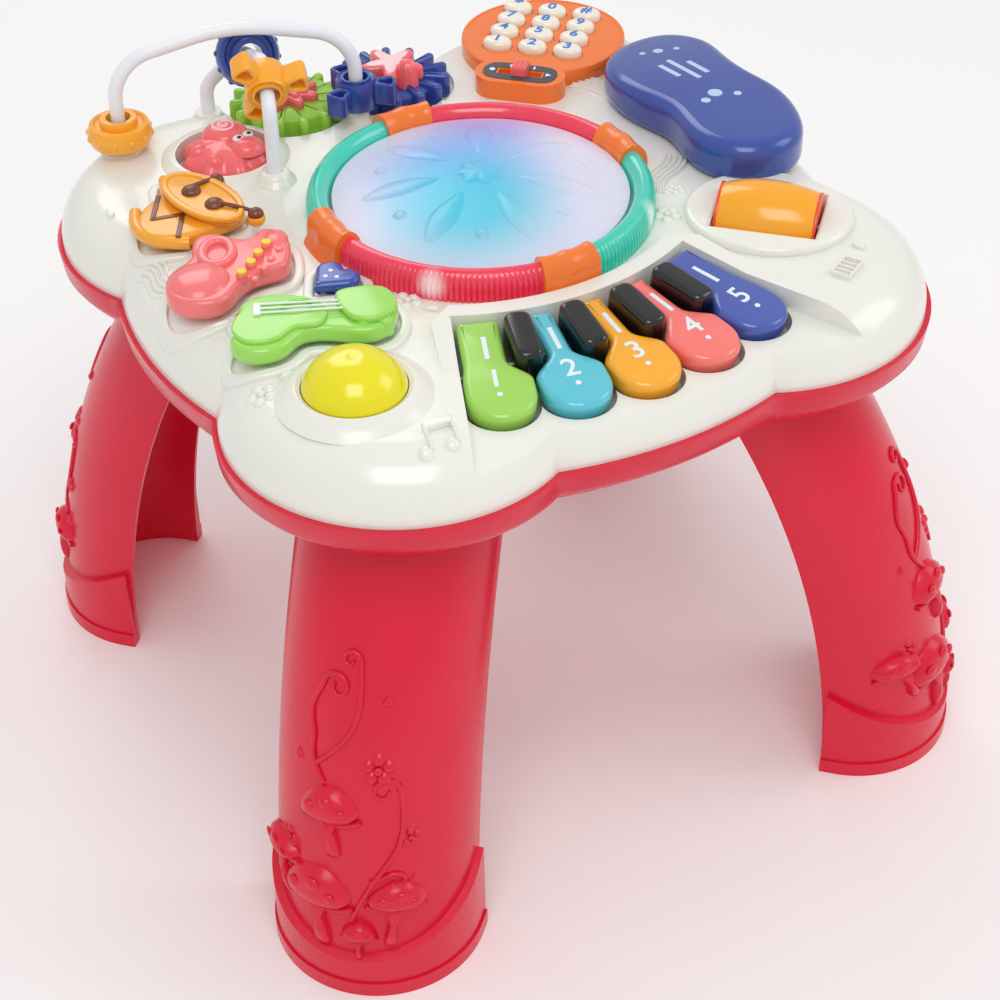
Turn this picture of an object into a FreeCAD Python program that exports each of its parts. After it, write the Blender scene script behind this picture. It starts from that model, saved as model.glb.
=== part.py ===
import FreeCAD, Part
import math
import os

# A musical activity table on four plug-in legs. Millimetres, +Z up, +X to the right of a child
# who sits at the keyboard, origin on the floor under the middle of the table.

V = FreeCAD.Vector
UP = V(0, 0, 1)

# Table body: four round corner lobes joined by four shallow side lobes
lobe_centre = 91.0
lobe_radius = 78.0
side_radius = 198.0
side_centre = 30.5
side_half_angle = 22.0
plateau_half = 131.0
rim_z = 246.0
plateau_z = 273.0
tray_bottom_z = 216.0
wall = 2.5
tray_proud = 2.5
dome_radius = 25.0
tray_radius = 20.0

# Legs: half tubes that lean in along a large arc
leg_arc_radius = 385.0
leg_edge_radius = 400.0
leg_foot_outer = 239.5
leg_foot_inner = 186.0
leg_half_width = 46.0
leg_wall = 3.0
boot_proud = 3.0
boot_side_z = 50.0
boot_front_z = 20.0

# Drum
ring_outer = 80.6
ring_inner = 69.6
ring_top_z = 285.0
clip_half_angle = 9.0
pad_radius = 68.6
pad_edge_z = 282.0
pad_top_z = 292.0
pad_travel = 2.5
well_radius = 60.0
well_floor_z = 256.0

# Keyboard: the keys fan out from the centre of the front side lobe
key_count = 5
key_fan = 10.8
key_rear_radius = 126.0
key_tip_radius = 187.0
bulb_centre_radius = 172.0
bulb_half = 15.0
key_rear_z = 276.5
key_slope = 7.5
key_pivot_y = -104.0
key_pivot_z = 263.0
recess_floor_z = 254.0
recess_ledge_z = 263.0
recess_rear_radius = 124.0
recess_side_half = 61.5
recess_side_y = -84.0
recess_side_spread = 0.43
border_width = 8.5
border_top_z = 278.0
key_gap = 1.5

# Free height under a pressed cap
button_gap = 2.5
crown_flat = 1.0
stem_radius = 6.0
stem_clearance = 0.4

os.makedirs("parts", exist_ok=True)


def save(shape, name):
    shape.exportStep("parts/" + name + ".step")
    print(name, len(shape.Solids), round(shape.Volume), shape.isValid())


def cylinder(x, y, z, radius, height, axis=UP):
    return Part.makeCylinder(radius, height, V(x, y, z), axis)


def block(x, y, z, length, width, height, turn=0.0):
    """A box centred on x, y that stands on z, turned about the vertical."""
    shape = Part.makeBox(length, width, height, V(x - length / 2, y - width / 2, z))
    shape.rotate(V(x, y, z), UP, turn)
    return shape


def fuse(shapes):
    if len(shapes) == 1:
        return shapes[0]
    return shapes[0].multiFuse(shapes[1:]).removeSplitter()


def group(shapes):
    return Part.makeCompound(shapes)


def polygon_face(points, z):
    corners = [V(x, y, z) for x, y in points]
    return Part.Face(Part.makePolygon(corners + corners[:1]))


def smooth_face(points, z):
    """A face inside one closed smooth curve through the points."""
    curve = Part.BSplineCurve()
    curve.interpolate([V(x, y, z) for x, y in points], PeriodicFlag=True)
    return Part.Face(Part.Wire(curve.toShape()))


def rounded_bar(x, y, z, length, width, height, turn=0.0):
    """A flat bar with round ends."""
    half = length / 2 - width / 2
    shape = fuse([
        block(x, y, z, 2 * half, width, height),
        cylinder(x - half, y, z, width / 2, height),
        cylinder(x + half, y, z, width / 2, height),
    ])
    shape.rotate(V(x, y, z), UP, turn)
    return shape


def profile_face(points, arcs=None):
    """A face in the XZ plane through (radius, z) points; arcs maps an edge's index to its middle point."""
    arcs = arcs or {}
    edges = []
    for i, (r, z) in enumerate(points):
        r_next, z_next = points[(i + 1) % len(points)]
        start = V(r, 0, z)
        end = V(r_next, 0, z_next)
        if i in arcs:
            middle = V(arcs[i][0], 0, arcs[i][1])
            edges.append(Part.Arc(start, middle, end).toShape())
        else:
            edges.append(Part.LineSegment(start, end).toShape())
    return Part.Face(Part.Wire(edges))


def revolved(points, arcs=None, angle=360):
    return profile_face(points, arcs).revolve(V(0, 0, 0), UP, angle)


def edge_profile(inner, outer, low, high, radius):
    """A slab profile from the inner to the outer radius with a rounded upper outer edge."""
    diagonal = radius * math.sqrt(0.5)
    middle = (outer - radius + diagonal, high - radius + diagonal)
    points = [(inner, low), (outer, low), (outer, high - radius), (outer - radius, high), (inner, high)]
    return profile_face(points, {2: middle})


def lobed_block(offset, low, high, radius):
    """The table's outline, grown by the offset, as a block with a rounded upper edge."""
    shapes = []
    profile = edge_profile(0, lobe_radius + offset, low, high, radius)
    pill = profile.revolve(V(0, 0, 0), UP, 360)
    for sx, sy in ((1, 1), (-1, 1), (-1, -1), (1, -1)):
        corner = pill.copy()
        corner.translate(V(sx * lobe_centre, sy * lobe_centre, 0))
        shapes.append(corner)
    profile = edge_profile(60, side_radius + offset, low, high, radius)
    profile.rotate(V(0, 0, 0), UP, -side_half_angle)
    side = profile.revolve(V(0, 0, 0), UP, 2 * side_half_angle)
    side.translate(V(-side_centre, 0, 0))
    for turn in (0, 90, 180, 270):
        lobe = side.copy()
        lobe.rotate(V(0, 0, 0), UP, turn)
        shapes.append(lobe)
    shapes.append(block(0, 0, low, 2 * plateau_half, 2 * lobe_centre, high - low))
    shapes.append(block(0, 0, low, 2 * lobe_centre, 2 * plateau_half, high - low))
    return fuse(shapes)


def turned_over(shape, z_middle):
    shape.rotate(V(0, 0, z_middle), V(1, 0, 0), 180)
    return shape


# Screw posts that hold the two casings together
screw_places = [(-128, -128), (128, -128), (150, 92), (-143, 103), (54, 150), (130, -22)]
screw_split_z = 240.0

# Buttons on the casing: each cap stands on a stem
drum_button_at = (-122.0, 60.0)
sax_button_at = (-128.0, 2.0)
guitar_button_at = (-116.0, -47.0)
heart_button_at = (-90.0, -27.0)
dome_button_at = (-117.0, -102.0)
dome_button_radius = 22.0
cap_bottom_z = plateau_z + button_gap

# Roller, lying across the front right corner
roller_at = (109.0, -75.0)
roller_z = 270.0
roller_middle_radius = 19.5
roller_end_radius = 16.0
roller_length = 44.0
roller_turn = -45.0
axle_radius = 2.0
axle_clearance = 0.08

# Gears and dial on the back of the table
blue_gear_at = (20.0, 127.0)
green_gear_at = (-34.0, 135.0)
snail_at = (-82.0, 105.0)
gear_floor_z = 268.0
gear_bottom_z = 268.5
gear_top_z = 278.5
gear_teeth = 14
pressure_angle = math.radians(20)
hub_radius = 4.0
hub_bottom_z = 258.0
hub_clearance = 0.15
snail_radius = 22.0

# Telephone
keypad_at = (106.0, 122.0)
keypad_radius = 42.0
keypad_top_z = 281.0
button_long = 15.0
button_short = 11.5
switch_at = (73.0, 89.0)
switch_top_z = 283.0
switch_travel = 7.0
handset_bottom_z = 273.3
handset_split_z = 283.0
handset_top_z = 294.0

# Bead wires
wire_radius = 3.45
collar_z = 274.0
wire_root_z = 266.0
long_wire_left = (-122.0, 138.0)
long_wire_right = (-10.0, 106.0)
cross_wire_front = (-71.0, 72.0)
cross_wire_back = (-71.0, 150.0)
bead_bore = 6.0
bead_hub_radius = 9.0
bead_height = 16.0


def fan_point(radius, angle):
    """The plan point at that radius and angle from the centre that the keys fan out from."""
    turn = math.radians(angle)
    return radius * math.sin(turn), side_centre - radius * math.cos(turn)


def recess_half(y):
    """Half the width of the keyboard recess at that y."""
    return recess_side_half + (recess_side_y - y) * recess_side_spread


def keyboard_ledge(grow, floor_z):
    """The shallow step round the keys: two spreading sides, an arc at the rear, open towards the front edge."""
    rear_y = -60.0
    front_y = -178.0
    rear = recess_half(rear_y) + grow
    front = recess_half(front_y) + grow
    wedge = polygon_face([(-rear, rear_y), (rear, rear_y), (front, front_y), (-front, front_y)], floor_z)
    rear_wall = cylinder(0, side_centre, floor_z - 1, recess_rear_radius - grow, 62)
    return wedge.extrude(V(0, 0, 60)).cut(rear_wall)


def keyboard_pocket(grow, floor_z):
    """The deep tray that the keys lie in, scalloped round their tips."""
    reach = bulb_half + key_gap + grow
    shapes = [cylinder(0, side_centre, floor_z, bulb_centre_radius, 60)]
    for index in range(key_count):
        x, y = fan_point(bulb_centre_radius, (index - 2) * key_fan)
        shapes.append(cylinder(x, y, floor_z, reach, 60))
    return keyboard_ledge(grow, floor_z).common(fuse(shapes))


def roller_pocket(grow):
    x, y = roller_at
    length = roller_length + 4 + 2 * grow
    width = 2 * roller_middle_radius + 3 + 2 * grow
    return block(x, y, 248.5 - grow, length, width, 60, roller_turn)


# The upper casing is the lobed outline less its pockets, with a lining wall under each pocket
outer = lobed_block(0, rim_z, plateau_z, dome_radius)
inner = lobed_block(-wall, rim_z - 1, plateau_z - wall, dome_radius - wall)
round_pockets = [
    (0, 0, well_floor_z, well_radius),
    (snail_at[0], snail_at[1], 265.5, 24.0),
    (blue_gear_at[0], blue_gear_at[1], gear_floor_z, 31.5),
    (green_gear_at[0], green_gear_at[1], gear_floor_z, 31.5),
]
pockets = [keyboard_ledge(0, recess_ledge_z), keyboard_pocket(0, recess_floor_z), roller_pocket(0)]
liners = [
    keyboard_ledge(wall, recess_ledge_z - wall), keyboard_pocket(wall, recess_floor_z - wall), roller_pocket(wall),
]
for x, y, floor_z, radius in round_pockets:
    pockets.append(cylinder(x, y, floor_z, radius, 40))
    liners.append(cylinder(x, y, floor_z - wall, radius + wall, 40))
top_shell = outer
for pocket in pockets:
    top_shell = top_shell.cut(pocket)
cavity = inner
for liner in liners:
    cavity = cavity.cut(liner)
top_shell = top_shell.cut(cavity)

# Collars, rims and posts on the upper casing
border_half_angle = 29.0
border = cylinder(0, side_centre, plateau_z - 1, recess_rear_radius, border_top_z - plateau_z + 1)
border = border.cut(cylinder(0, side_centre, plateau_z - 2, recess_rear_radius - border_width, 20))
reach = 200.0
sector = [(0, side_centre), fan_point(reach, -border_half_angle), fan_point(reach, border_half_angle)]
adds = [border.common(polygon_face(sector, plateau_z - 1).extrude(V(0, 0, 20)))]
border_front_y = -128.0
border_slope = 8.5
for side in (-1, 1):
    low_half = recess_half(border_front_y)
    rail = polygon_face([
        (side * 60.6, -81.5), (side * low_half, border_front_y), (side * (low_half + 6), border_front_y),
        (side * 68.5, -78.0), (side * 60.5, -73.5), (side * 56.5, -71.0),
    ], 262.0).extrude(V(0, 0, 30))
    above = Part.makeBox(80, 90, 40, V(-40, -90, 0))
    above.rotate(V(0, 0, 0), V(1, 0, 0), border_slope)
    above.translate(V(side * 75, recess_side_y + 8, border_top_z))
    top = Part.makeBox(80, 90, 40, V(-40 + side * 75, recess_side_y, border_top_z))
    adds.append(rail.cut(above).cut(top))
for x, y in (long_wire_left, cross_wire_front, cross_wire_back):
    adds.append(Part.makeCone(9.0, 6.5, collar_z - 265, V(x, y, 265.0)))
adds.append(Part.makeCone(7.0, 5.5, 14.0, V(long_wire_right[0], long_wire_right[1], 265.0)))
for x, y in screw_places:
    adds.append(cylinder(x, y, screw_split_z, 4.5, 31.0).common(outer))
snail_ring_radius = 26.4
snail_ring = cylinder(snail_at[0], snail_at[1], 271.0, snail_ring_radius, 5.0)
adds.append(snail_ring.cut(cylinder(snail_at[0], snail_at[1], 270.0, 24.0, 8.0)))
dome_ring = cylinder(dome_button_at[0], dome_button_at[1], 271.0, 27.0, 6.0)
adds.append(dome_ring.cut(cylinder(dome_button_at[0], dome_button_at[1], 270.0, dome_button_radius + 0.6, 8.0)))
top_shell = top_shell.fuse(adds).removeSplitter()

# Openings in the upper casing
rod_radius = 1.5
rod_half = recess_half(key_pivot_y) + wall
key_rod = cylinder(-rod_half, key_pivot_y, key_pivot_z, rod_radius, 2 * rod_half, V(1, 0, 0))
roller_direction = V(math.cos(math.radians(roller_turn)), math.sin(math.radians(roller_turn)), 0)
axle_half = roller_length / 2 + 4.0
axle_start = V(roller_at[0], roller_at[1], roller_z) - roller_direction * axle_half
roller_axle = Part.makeCylinder(axle_radius, 2 * axle_half, axle_start, roller_direction)
cuts = [key_rod, roller_axle]
for x, y in (long_wire_left, long_wire_right, cross_wire_front, cross_wire_back):
    cuts.append(cylinder(x, y, 250.0, wire_radius, 40))
for x, y in screw_places:
    cuts.append(cylinder(x, y, screw_split_z - 1, 1.5, 14))
for x, y in (drum_button_at, sax_button_at, guitar_button_at, dome_button_at):
    cuts.append(cylinder(x, y, 262.0, stem_radius + stem_clearance, 20))
small_stem_radius = 3.5
cuts.append(cylinder(heart_button_at[0], heart_button_at[1], 262.0, small_stem_radius + stem_clearance, 20))
for x, y in (blue_gear_at, green_gear_at, snail_at):
    cuts.append(cylinder(x, y, hub_bottom_z - 2, hub_radius + hub_clearance, 20))
for tool in cuts:
    top_shell = top_shell.cut(tool)
save(top_shell, "top_shell")
save(key_rod, "key_pivot_rod")
save(roller_axle, "roller_axle")

# The tray under the rim, with leg sockets, battery box and speaker grille
leg_turns = {"front_left": 225, "front_right": 315, "back_left": 135, "back_right": 45}
plug_radial = 150.0
plug_length = 60.0
plug_width = 24.0
plug_top_z = 232.0
tray_floor_z = tray_bottom_z + 3
battery_y = -45.0
speaker_at = (-75.0, 25.0)
speaker_radius = 27.0
board_at = (20.0, 60.0)


def at_leg(shape, turn):
    moved = shape.copy()
    moved.rotate(V(0, 0, 0), UP, turn)
    return moved


tray = turned_over(lobed_block(tray_proud, tray_bottom_z, rim_z, tray_radius), (tray_bottom_z + rim_z) / 2)
hollow = turned_over(lobed_block(-1.5, tray_floor_z, rim_z + 2, tray_radius - 4), (tray_floor_z + rim_z + 2) / 2)
bottom_shell = tray.cut(hollow)
adds = [block(0, battery_y, tray_floor_z - 1, 66, 56, 23)]
for x, y in screw_places:
    adds.append(cylinder(x, y, tray_floor_z - 1, 4.5, screw_split_z - tray_floor_z + 1))
for turn in leg_turns.values():
    adds.append(at_leg(block(plug_radial, 0, tray_floor_z - 1, plug_width + 5, plug_length + 5, 17), turn))
for dx in (-38, 38):
    for dy in (-18, 18):
        adds.append(cylinder(board_at[0] + dx, board_at[1] + dy, tray_floor_z - 1, 3, 6))
bottom_shell = bottom_shell.fuse(adds).removeSplitter()
cuts = [block(0, battery_y, tray_bottom_z - 1, 60, 50, 4)]
cuts.append(block(0, battery_y, tray_bottom_z - 1, 54, 44, 22))
for turn in leg_turns.values():
    socket_depth = plug_top_z - tray_bottom_z + 0.3
    socket = block(plug_radial, 0, tray_bottom_z - 1, plug_width + 0.4, plug_length + 0.4, socket_depth + 1)
    cuts.append(at_leg(socket, turn))
for x, y in screw_places:
    cuts.append(cylinder(x, y, tray_bottom_z - 1, 1.7, 30))
    cuts.append(cylinder(x, y, tray_bottom_z - 1, 3.6, 17))
for ring in range(3):
    for step in range(max(1, 6 * ring)):
        angle = 2 * math.pi * step / max(1, 6 * ring)
        x = speaker_at[0] + 8 * ring * math.cos(angle)
        y = speaker_at[1] + 8 * ring * math.sin(angle)
        cuts.append(cylinder(x, y, tray_bottom_z - 1, 2.2, 6))
for tool in cuts:
    bottom_shell = bottom_shell.cut(tool)
save(bottom_shell, "bottom_shell")

# Screws, batteries, door, speaker and circuit board inside the tray
screws = []
for x, y in screw_places:
    head = cylinder(x, y, tray_bottom_z + 13, 3.2, 3)
    screws.append(head.fuse(cylinder(x, y, tray_bottom_z + 16, 1.45, 20)))
save(group(screws), "housing_screws")
save(block(0, battery_y, tray_bottom_z + 0.6, 59.4, 49.4, 2.4), "battery_door")
batteries = []
for row in (-1, 0, 1):
    batteries.append(cylinder(-25, battery_y + row * 14.6, tray_floor_z + 7.05, 7.0, 50, V(1, 0, 0)))
save(group(batteries), "batteries")
cone = Part.makeCone(speaker_radius, 12.0, 10.0, V(speaker_at[0], speaker_at[1], tray_floor_z + 3))
save(fuse([cylinder(speaker_at[0], speaker_at[1], tray_floor_z, speaker_radius, 3), cone]), "speaker")
board = block(board_at[0], board_at[1], tray_floor_z + 5, 90, 48, 1.6)
chip = block(board_at[0], board_at[1], tray_floor_z + 6.6, 18, 18, 2)
save(fuse([board, chip]), "circuit_board")


# Legs: a U section swept along the arc, trimmed along its inner edges, with a boot round the foot
def leg_section(grow, start):
    half = leg_half_width + grow
    centre = leg_foot_outer - leg_half_width
    edges = [
        Part.LineSegment(V(start, half, 0), V(start, -half, 0)).toShape(),
        Part.LineSegment(V(start, -half, 0), V(centre, -half, 0)).toShape(),
        Part.Arc(V(centre, -half, 0), V(centre + half, 0, 0), V(centre, half, 0)).toShape(),
        Part.LineSegment(V(centre, half, 0), V(start, half, 0)).toShape(),
    ]
    return Part.Face(Part.Wire(edges))


def make_leg():
    pivot = V(leg_foot_outer - leg_arc_radius, 0, 0)
    across = V(0, -1, 0)
    solid = leg_section(0, 120).revolve(pivot, across, 42)
    channel = leg_section(-leg_wall, 110).revolve(pivot, across, 43)
    edge_pivot = V(leg_foot_inner - leg_edge_radius, -80, 0)
    inside = Part.makeCylinder(leg_edge_radius, 160, edge_pivot, V(0, 1, 0))
    above = Part.makeBox(400, 200, 200, V(0, -100, tray_bottom_z))
    cap_slab = Part.makeBox(400, 200, 3, V(0, -100, tray_bottom_z - 3))
    envelope = solid.cut(above)
    leg = envelope.cut(channel)
    cap = envelope.common(cap_slab)
    boot = leg_section(boot_proud, leg_foot_inner).extrude(V(0, 0, boot_side_z))
    top = profile_face([
        (leg_foot_inner - 5, boot_side_z + 2.5), (260, boot_front_z - 7),
        (260, 80), (leg_foot_inner - 5, 80),
    ])
    top.translate(V(0, -80, 0))
    boot = boot.cut(top.extrude(V(0, 160, 0)))
    boot = boot.cut(envelope)
    sole = leg_section(boot_proud + 1, leg_foot_inner).extrude(V(0, 0, 8)).cut(
        leg_section(-leg_wall, 110).extrude(V(0, 0, 8)))
    plug = block(plug_radial, 0, tray_bottom_z - 1, plug_width, plug_length, plug_top_z - tray_bottom_z + 1)
    return leg.fuse([cap, boot, sole]).cut(inside).fuse(plug).removeSplitter()


leg = make_leg()
for place, turn in leg_turns.items():
    save(at_leg(leg, turn), "leg_" + place)

# Drum: ring quarters between four clips, pad on a skirt, light board at the bottom of the well
ring_profile = [
    (ring_inner, plateau_z), (ring_outer, plateau_z), (ring_outer, 279.5), (ring_inner, 279.5),
]
ring_middle = ((ring_inner + ring_outer) / 2, ring_top_z)
quarter = revolved(ring_profile, {2: ring_middle}, 90 - 2 * clip_half_angle)
ring_starts = {"back_right": 0, "back_left": 90, "front_left": 180, "front_right": 270}
for place, start in ring_starts.items():
    save(at_leg(quarter, start + clip_half_angle), "ring_" + place)
clip_profile = [
    (ring_inner - 0.4, plateau_z), (ring_outer + 4, plateau_z), (ring_outer + 4, 280), (ring_inner - 0.4, 283),
]
clip = revolved(clip_profile, {2: (76.5, 289.5)}, 2 * clip_half_angle)
save(group([at_leg(clip, turn - clip_half_angle) for turn in (0, 90, 180, 270)]), "ring_clips")

pad_bottom_z = plateau_z + pad_travel + 2
pad = revolved([(0, pad_bottom_z), (pad_radius, pad_bottom_z), (pad_radius, pad_edge_z), (crown_flat, pad_top_z),
                (0, pad_top_z)], {2: (35, 289.7)})
pad = pad.cut(Part.makeCone(54, 20, pad_top_z - 2 - pad_bottom_z, V(0, 0, pad_bottom_z - 1)))
skirt = cylinder(0, 0, 262, 56.5, 16).cut(cylinder(0, 0, 261, 54, 18))
save(fuse([pad, skirt]), "drum_pad")
lights = [cylinder(0, 0, well_floor_z, 52, 1.6)]
for step in range(8):
    angle = 2 * math.pi * step / 8
    lights.append(cylinder(38 * math.cos(angle), 38 * math.sin(angle), well_floor_z + 1.5, 2.5, 4))
save(fuse(lights), "drum_light_board")

# Keyboard: five bulb-ended keys on one rod, with four short dark keys between their necks
key_thickness = 10.0
key_length = key_tip_radius - key_rear_radius
bulb_start = bulb_centre_radius - key_rear_radius
neck_half = 4.9
neck_length = 24.0
shoulder_length = 42.0
outer_half = 13.5


def make_key(index):
    angle = (index - 2) * key_fan
    left_half = outer_half if index == 0 else neck_half
    right_half = outer_half if index == key_count - 1 else neck_half
    rows = [
        V(-left_half, 0, 0), V(right_half, 0, 0), V(right_half, -neck_length, 0), V(bulb_half, -shoulder_length, 0),
        V(bulb_half, -bulb_start, 0),
    ]
    edges = []
    for a, b in zip(rows[:-1], rows[1:]):
        edges.append(Part.LineSegment(a, b).toShape())
    edges.append(Part.Arc(rows[-1], V(0, -key_length, 0), V(-bulb_half, -bulb_start, 0)).toShape())
    back = [
        V(-bulb_half, -bulb_start, 0), V(-bulb_half, -shoulder_length, 0), V(-left_half, -neck_length, 0),
        V(-left_half, 0, 0),
    ]
    for a, b in zip(back[:-1], back[1:]):
        edges.append(Part.LineSegment(a, b).toShape())
    key = Part.Face(Part.Wire(edges)).extrude(V(0, 0, -key_thickness))
    key.rotate(V(0, 0, 0), V(1, 0, 0), key_slope)
    key.rotate(V(0, 0, 0), UP, angle)
    key.translate(V(*fan_point(key_rear_radius, angle), key_rear_z))
    lug_x = (side_centre - key_pivot_y) * math.tan(math.radians(angle))
    key = key.fuse(block(lug_x, key_pivot_y, key_pivot_z - 4, 9, 9, 8)).removeSplitter()
    return key.cut(cylinder(-90, key_pivot_y, key_pivot_z, rod_radius + axle_clearance, 180, V(1, 0, 0)))


for index in range(key_count):
    save(make_key(index), "piano_key_" + str(index + 1))
dark_length = 29.5
dark_width = 11.6
dark_rear_radius = 129.0
dark_top_z = 282.0
dark_keys = []
for place in (-1.5, -0.5, 0.5, 1.5):
    angle = place * key_fan
    dark = rounded_bar(0, -dark_length / 2, 0, dark_length, dark_width, 50, 90)
    above = Part.makeBox(60, 80, 60, V(-30, -60, 0))
    above.rotate(V(0, 0, 0), V(1, 0, 0), key_slope)
    above.translate(V(0, 0, dark_top_z - recess_floor_z))
    dark = dark.cut(above)
    dark.rotate(V(0, 0, 0), UP, angle)
    dark.translate(V(*fan_point(dark_rear_radius, angle), recess_floor_z))
    dark_keys.append(dark.cut(cylinder(-90, key_pivot_y, key_pivot_z, rod_radius + 0.02, 180, V(1, 0, 0))))
save(group(dark_keys), "black_keys")

# Push buttons: a cap of its own outline on a round stem
drum_outline = [(-120, 89), (-109, 77), (-101, 57), (-102, 38), (-117, 34), (-133, 33), (-147, 41), (-148, 53),
                (-138, 67), (-127, 77)]
sax_outline = [(-159, -6), (-155, -21), (-141, -26), (-129, -18), (-117, -14), (-106, -14), (-99, -5),
               (-95, 6), (-96, 14), (-103, 18), (-111, 14), (-117, 19), (-121, 25), (-129, 27), (-135, 21),
               (-139, 13), (-151, 6)]
guitar_outline = [(-151, -58), (-146, -67), (-132, -69), (-122, -64), (-112, -67), (-103, -74), (-92, -78),
                  (-80, -70), (-76, -58), (-80, -48), (-90, -48), (-98, -50), (-109, -46), (-114, -36),
                  (-124, -30), (-135, -31), (-139, -38), (-138, -46), (-148, -51)]


def cap_button(outline, at, height):
    cap = smooth_face(outline, cap_bottom_z).extrude(V(0, 0, height))
    return cap.fuse(cylinder(at[0], at[1], 260, stem_radius, cap_bottom_z - 259)).removeSplitter()


drum_cap = cap_button(drum_outline, drum_button_at, 9.5)
sticks = []
for tip, ball in (((-112, 66), (-100, 80)), ((-108, 50), (-92, 42))):
    length = math.hypot(ball[0] - tip[0], ball[1] - tip[1])
    middle = ((tip[0] + ball[0]) / 2, (tip[1] + ball[1]) / 2)
    turn = math.degrees(math.atan2(ball[1] - tip[1], ball[0] - tip[0]))
    sticks.append(rounded_bar(middle[0], middle[1], cap_bottom_z + 1, length + 7, 7, 12, turn))
save(fuse([drum_cap] + sticks), "drum_button")
sax_cap = cap_button(sax_outline, sax_button_at, 10)
save(sax_cap, "saxophone_button")
save(cap_button(guitar_outline, guitar_button_at, 9), "guitar_button")
hx, hy = heart_button_at
heart_turn = -70
heart = fuse([
    cylinder(hx - 5, hy + 4, cap_bottom_z, 6.2, 8),
    cylinder(hx + 5, hy + 4, cap_bottom_z, 6.2, 8),
    polygon_face([(hx - 9.7, hy - 0.1), (hx, hy - 11), (hx + 9.7, hy - 0.1), (hx, hy + 6)], cap_bottom_z).extrude(
        V(0, 0, 8)),
])
heart.rotate(V(hx, hy, 0), UP, heart_turn)
save(fuse([heart, cylinder(hx, hy, 260, small_stem_radius, cap_bottom_z - 259)]), "heart_button")
dome = revolved([(0, cap_bottom_z), (dome_button_radius, cap_bottom_z), (dome_button_radius, 277.5),
                 (crown_flat, 291.5), (0, 291.5)], {2: (15.5, 287.5)})
dome.translate(V(dome_button_at[0], dome_button_at[1], 0))
dome = dome.fuse(cylinder(dome_button_at[0], dome_button_at[1], 260, stem_radius, cap_bottom_z - 259))
save(dome.removeSplitter(), "dome_button")

# Roller: a barrel on its axle
half = roller_length / 2
barrel = revolved([(axle_radius + axle_clearance, -half), (roller_end_radius, -half), (roller_end_radius, half),
                   (axle_radius + axle_clearance, half)], {1: (roller_middle_radius, 0)})
barrel.rotate(V(0, 0, 0), V(0, 1, 0), 90)
barrel.rotate(V(0, 0, 0), UP, roller_turn)
barrel.translate(V(roller_at[0], roller_at[1], roller_z))
save(barrel, "roller")

# Meshing gears: involute flanks on a short tooth, both with the same count
centre_distance = math.hypot(blue_gear_at[0] - green_gear_at[0], blue_gear_at[1] - green_gear_at[1])
pitch_radius = centre_distance / 2
module = 2 * pitch_radius / gear_teeth
tooth_outer = pitch_radius + 0.6 * module
tooth_root = pitch_radius - 0.85 * module
backlash = 0.5


def make_gear(at, phase, low, high):
    base = pitch_radius * math.cos(pressure_angle)
    involute = math.tan(pressure_angle) - pressure_angle
    half_tooth = math.pi / (2 * gear_teeth) - backlash / (2 * pitch_radius)
    flank = []
    for step in range(6):
        radius = base + (tooth_outer - base) * step / 5
        roll = math.acos(min(1.0, base / radius))
        flank.append((radius, half_tooth + involute - (math.tan(roll) - roll)))
    teeth = [cylinder(0, 0, low, tooth_root, high - low)]
    for tooth in range(gear_teeth):
        middle = 2 * math.pi * tooth / gear_teeth + phase
        points = [(tooth_root - 2, -flank[0][1])] + [(r, -a) for r, a in flank]
        points += [(r, a) for r, a in reversed(flank)] + [(tooth_root - 2, flank[0][1])]
        plan = [(r * math.cos(middle + a), r * math.sin(middle + a)) for r, a in points]
        teeth.append(polygon_face(plan, low).extrude(V(0, 0, high - low)))
    gear = fuse(teeth + [cylinder(0, 0, hub_bottom_z, hub_radius, high - hub_bottom_z)])
    gear.translate(V(at[0], at[1], 0))
    return gear


line_angle = math.atan2(green_gear_at[1] - blue_gear_at[1], green_gear_at[0] - blue_gear_at[0])
blue_gear = make_gear(blue_gear_at, line_angle, gear_bottom_z, gear_top_z)
green_gear = make_gear(green_gear_at, line_angle + math.pi + math.pi / gear_teeth, gear_bottom_z, gear_top_z)
save(blue_gear, "blue_gear")
save(green_gear, "green_gear")


def star_face(at, z, points_count, outer_radius, inner_radius, turn):
    corners = []
    for step in range(2 * points_count):
        radius = outer_radius if step % 2 == 0 else inner_radius
        angle = math.radians(turn) + math.pi * step / points_count
        corners.append((at[0] + radius * math.cos(angle), at[1] + radius * math.sin(angle)))
    return polygon_face(corners, z)


star = star_face(blue_gear_at, gear_top_z, 5, 17, 8.5, 100).extrude(V(0, 0, 9))
knob = cylinder(blue_gear_at[0] + 3, blue_gear_at[1] - 12, gear_top_z + 0.01, 6.0, 14)
save(fuse([star, knob]), "star_crank")
flower = star_face(green_gear_at, gear_top_z, 8, 16, 12, 0).extrude(V(0, 0, 7))
save(flower, "flower_cap")
snail = revolved([(0, 266.3), (snail_radius, 266.3), (snail_radius, 272), (crown_flat, 288), (0, 288)],
                 {2: (16.5, 282.5)})
snail.translate(V(snail_at[0], snail_at[1], 0))
snail = snail.fuse(cylinder(snail_at[0], snail_at[1], hub_bottom_z, hub_radius, 10))
save(snail.removeSplitter(), "snail_dial")

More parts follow.
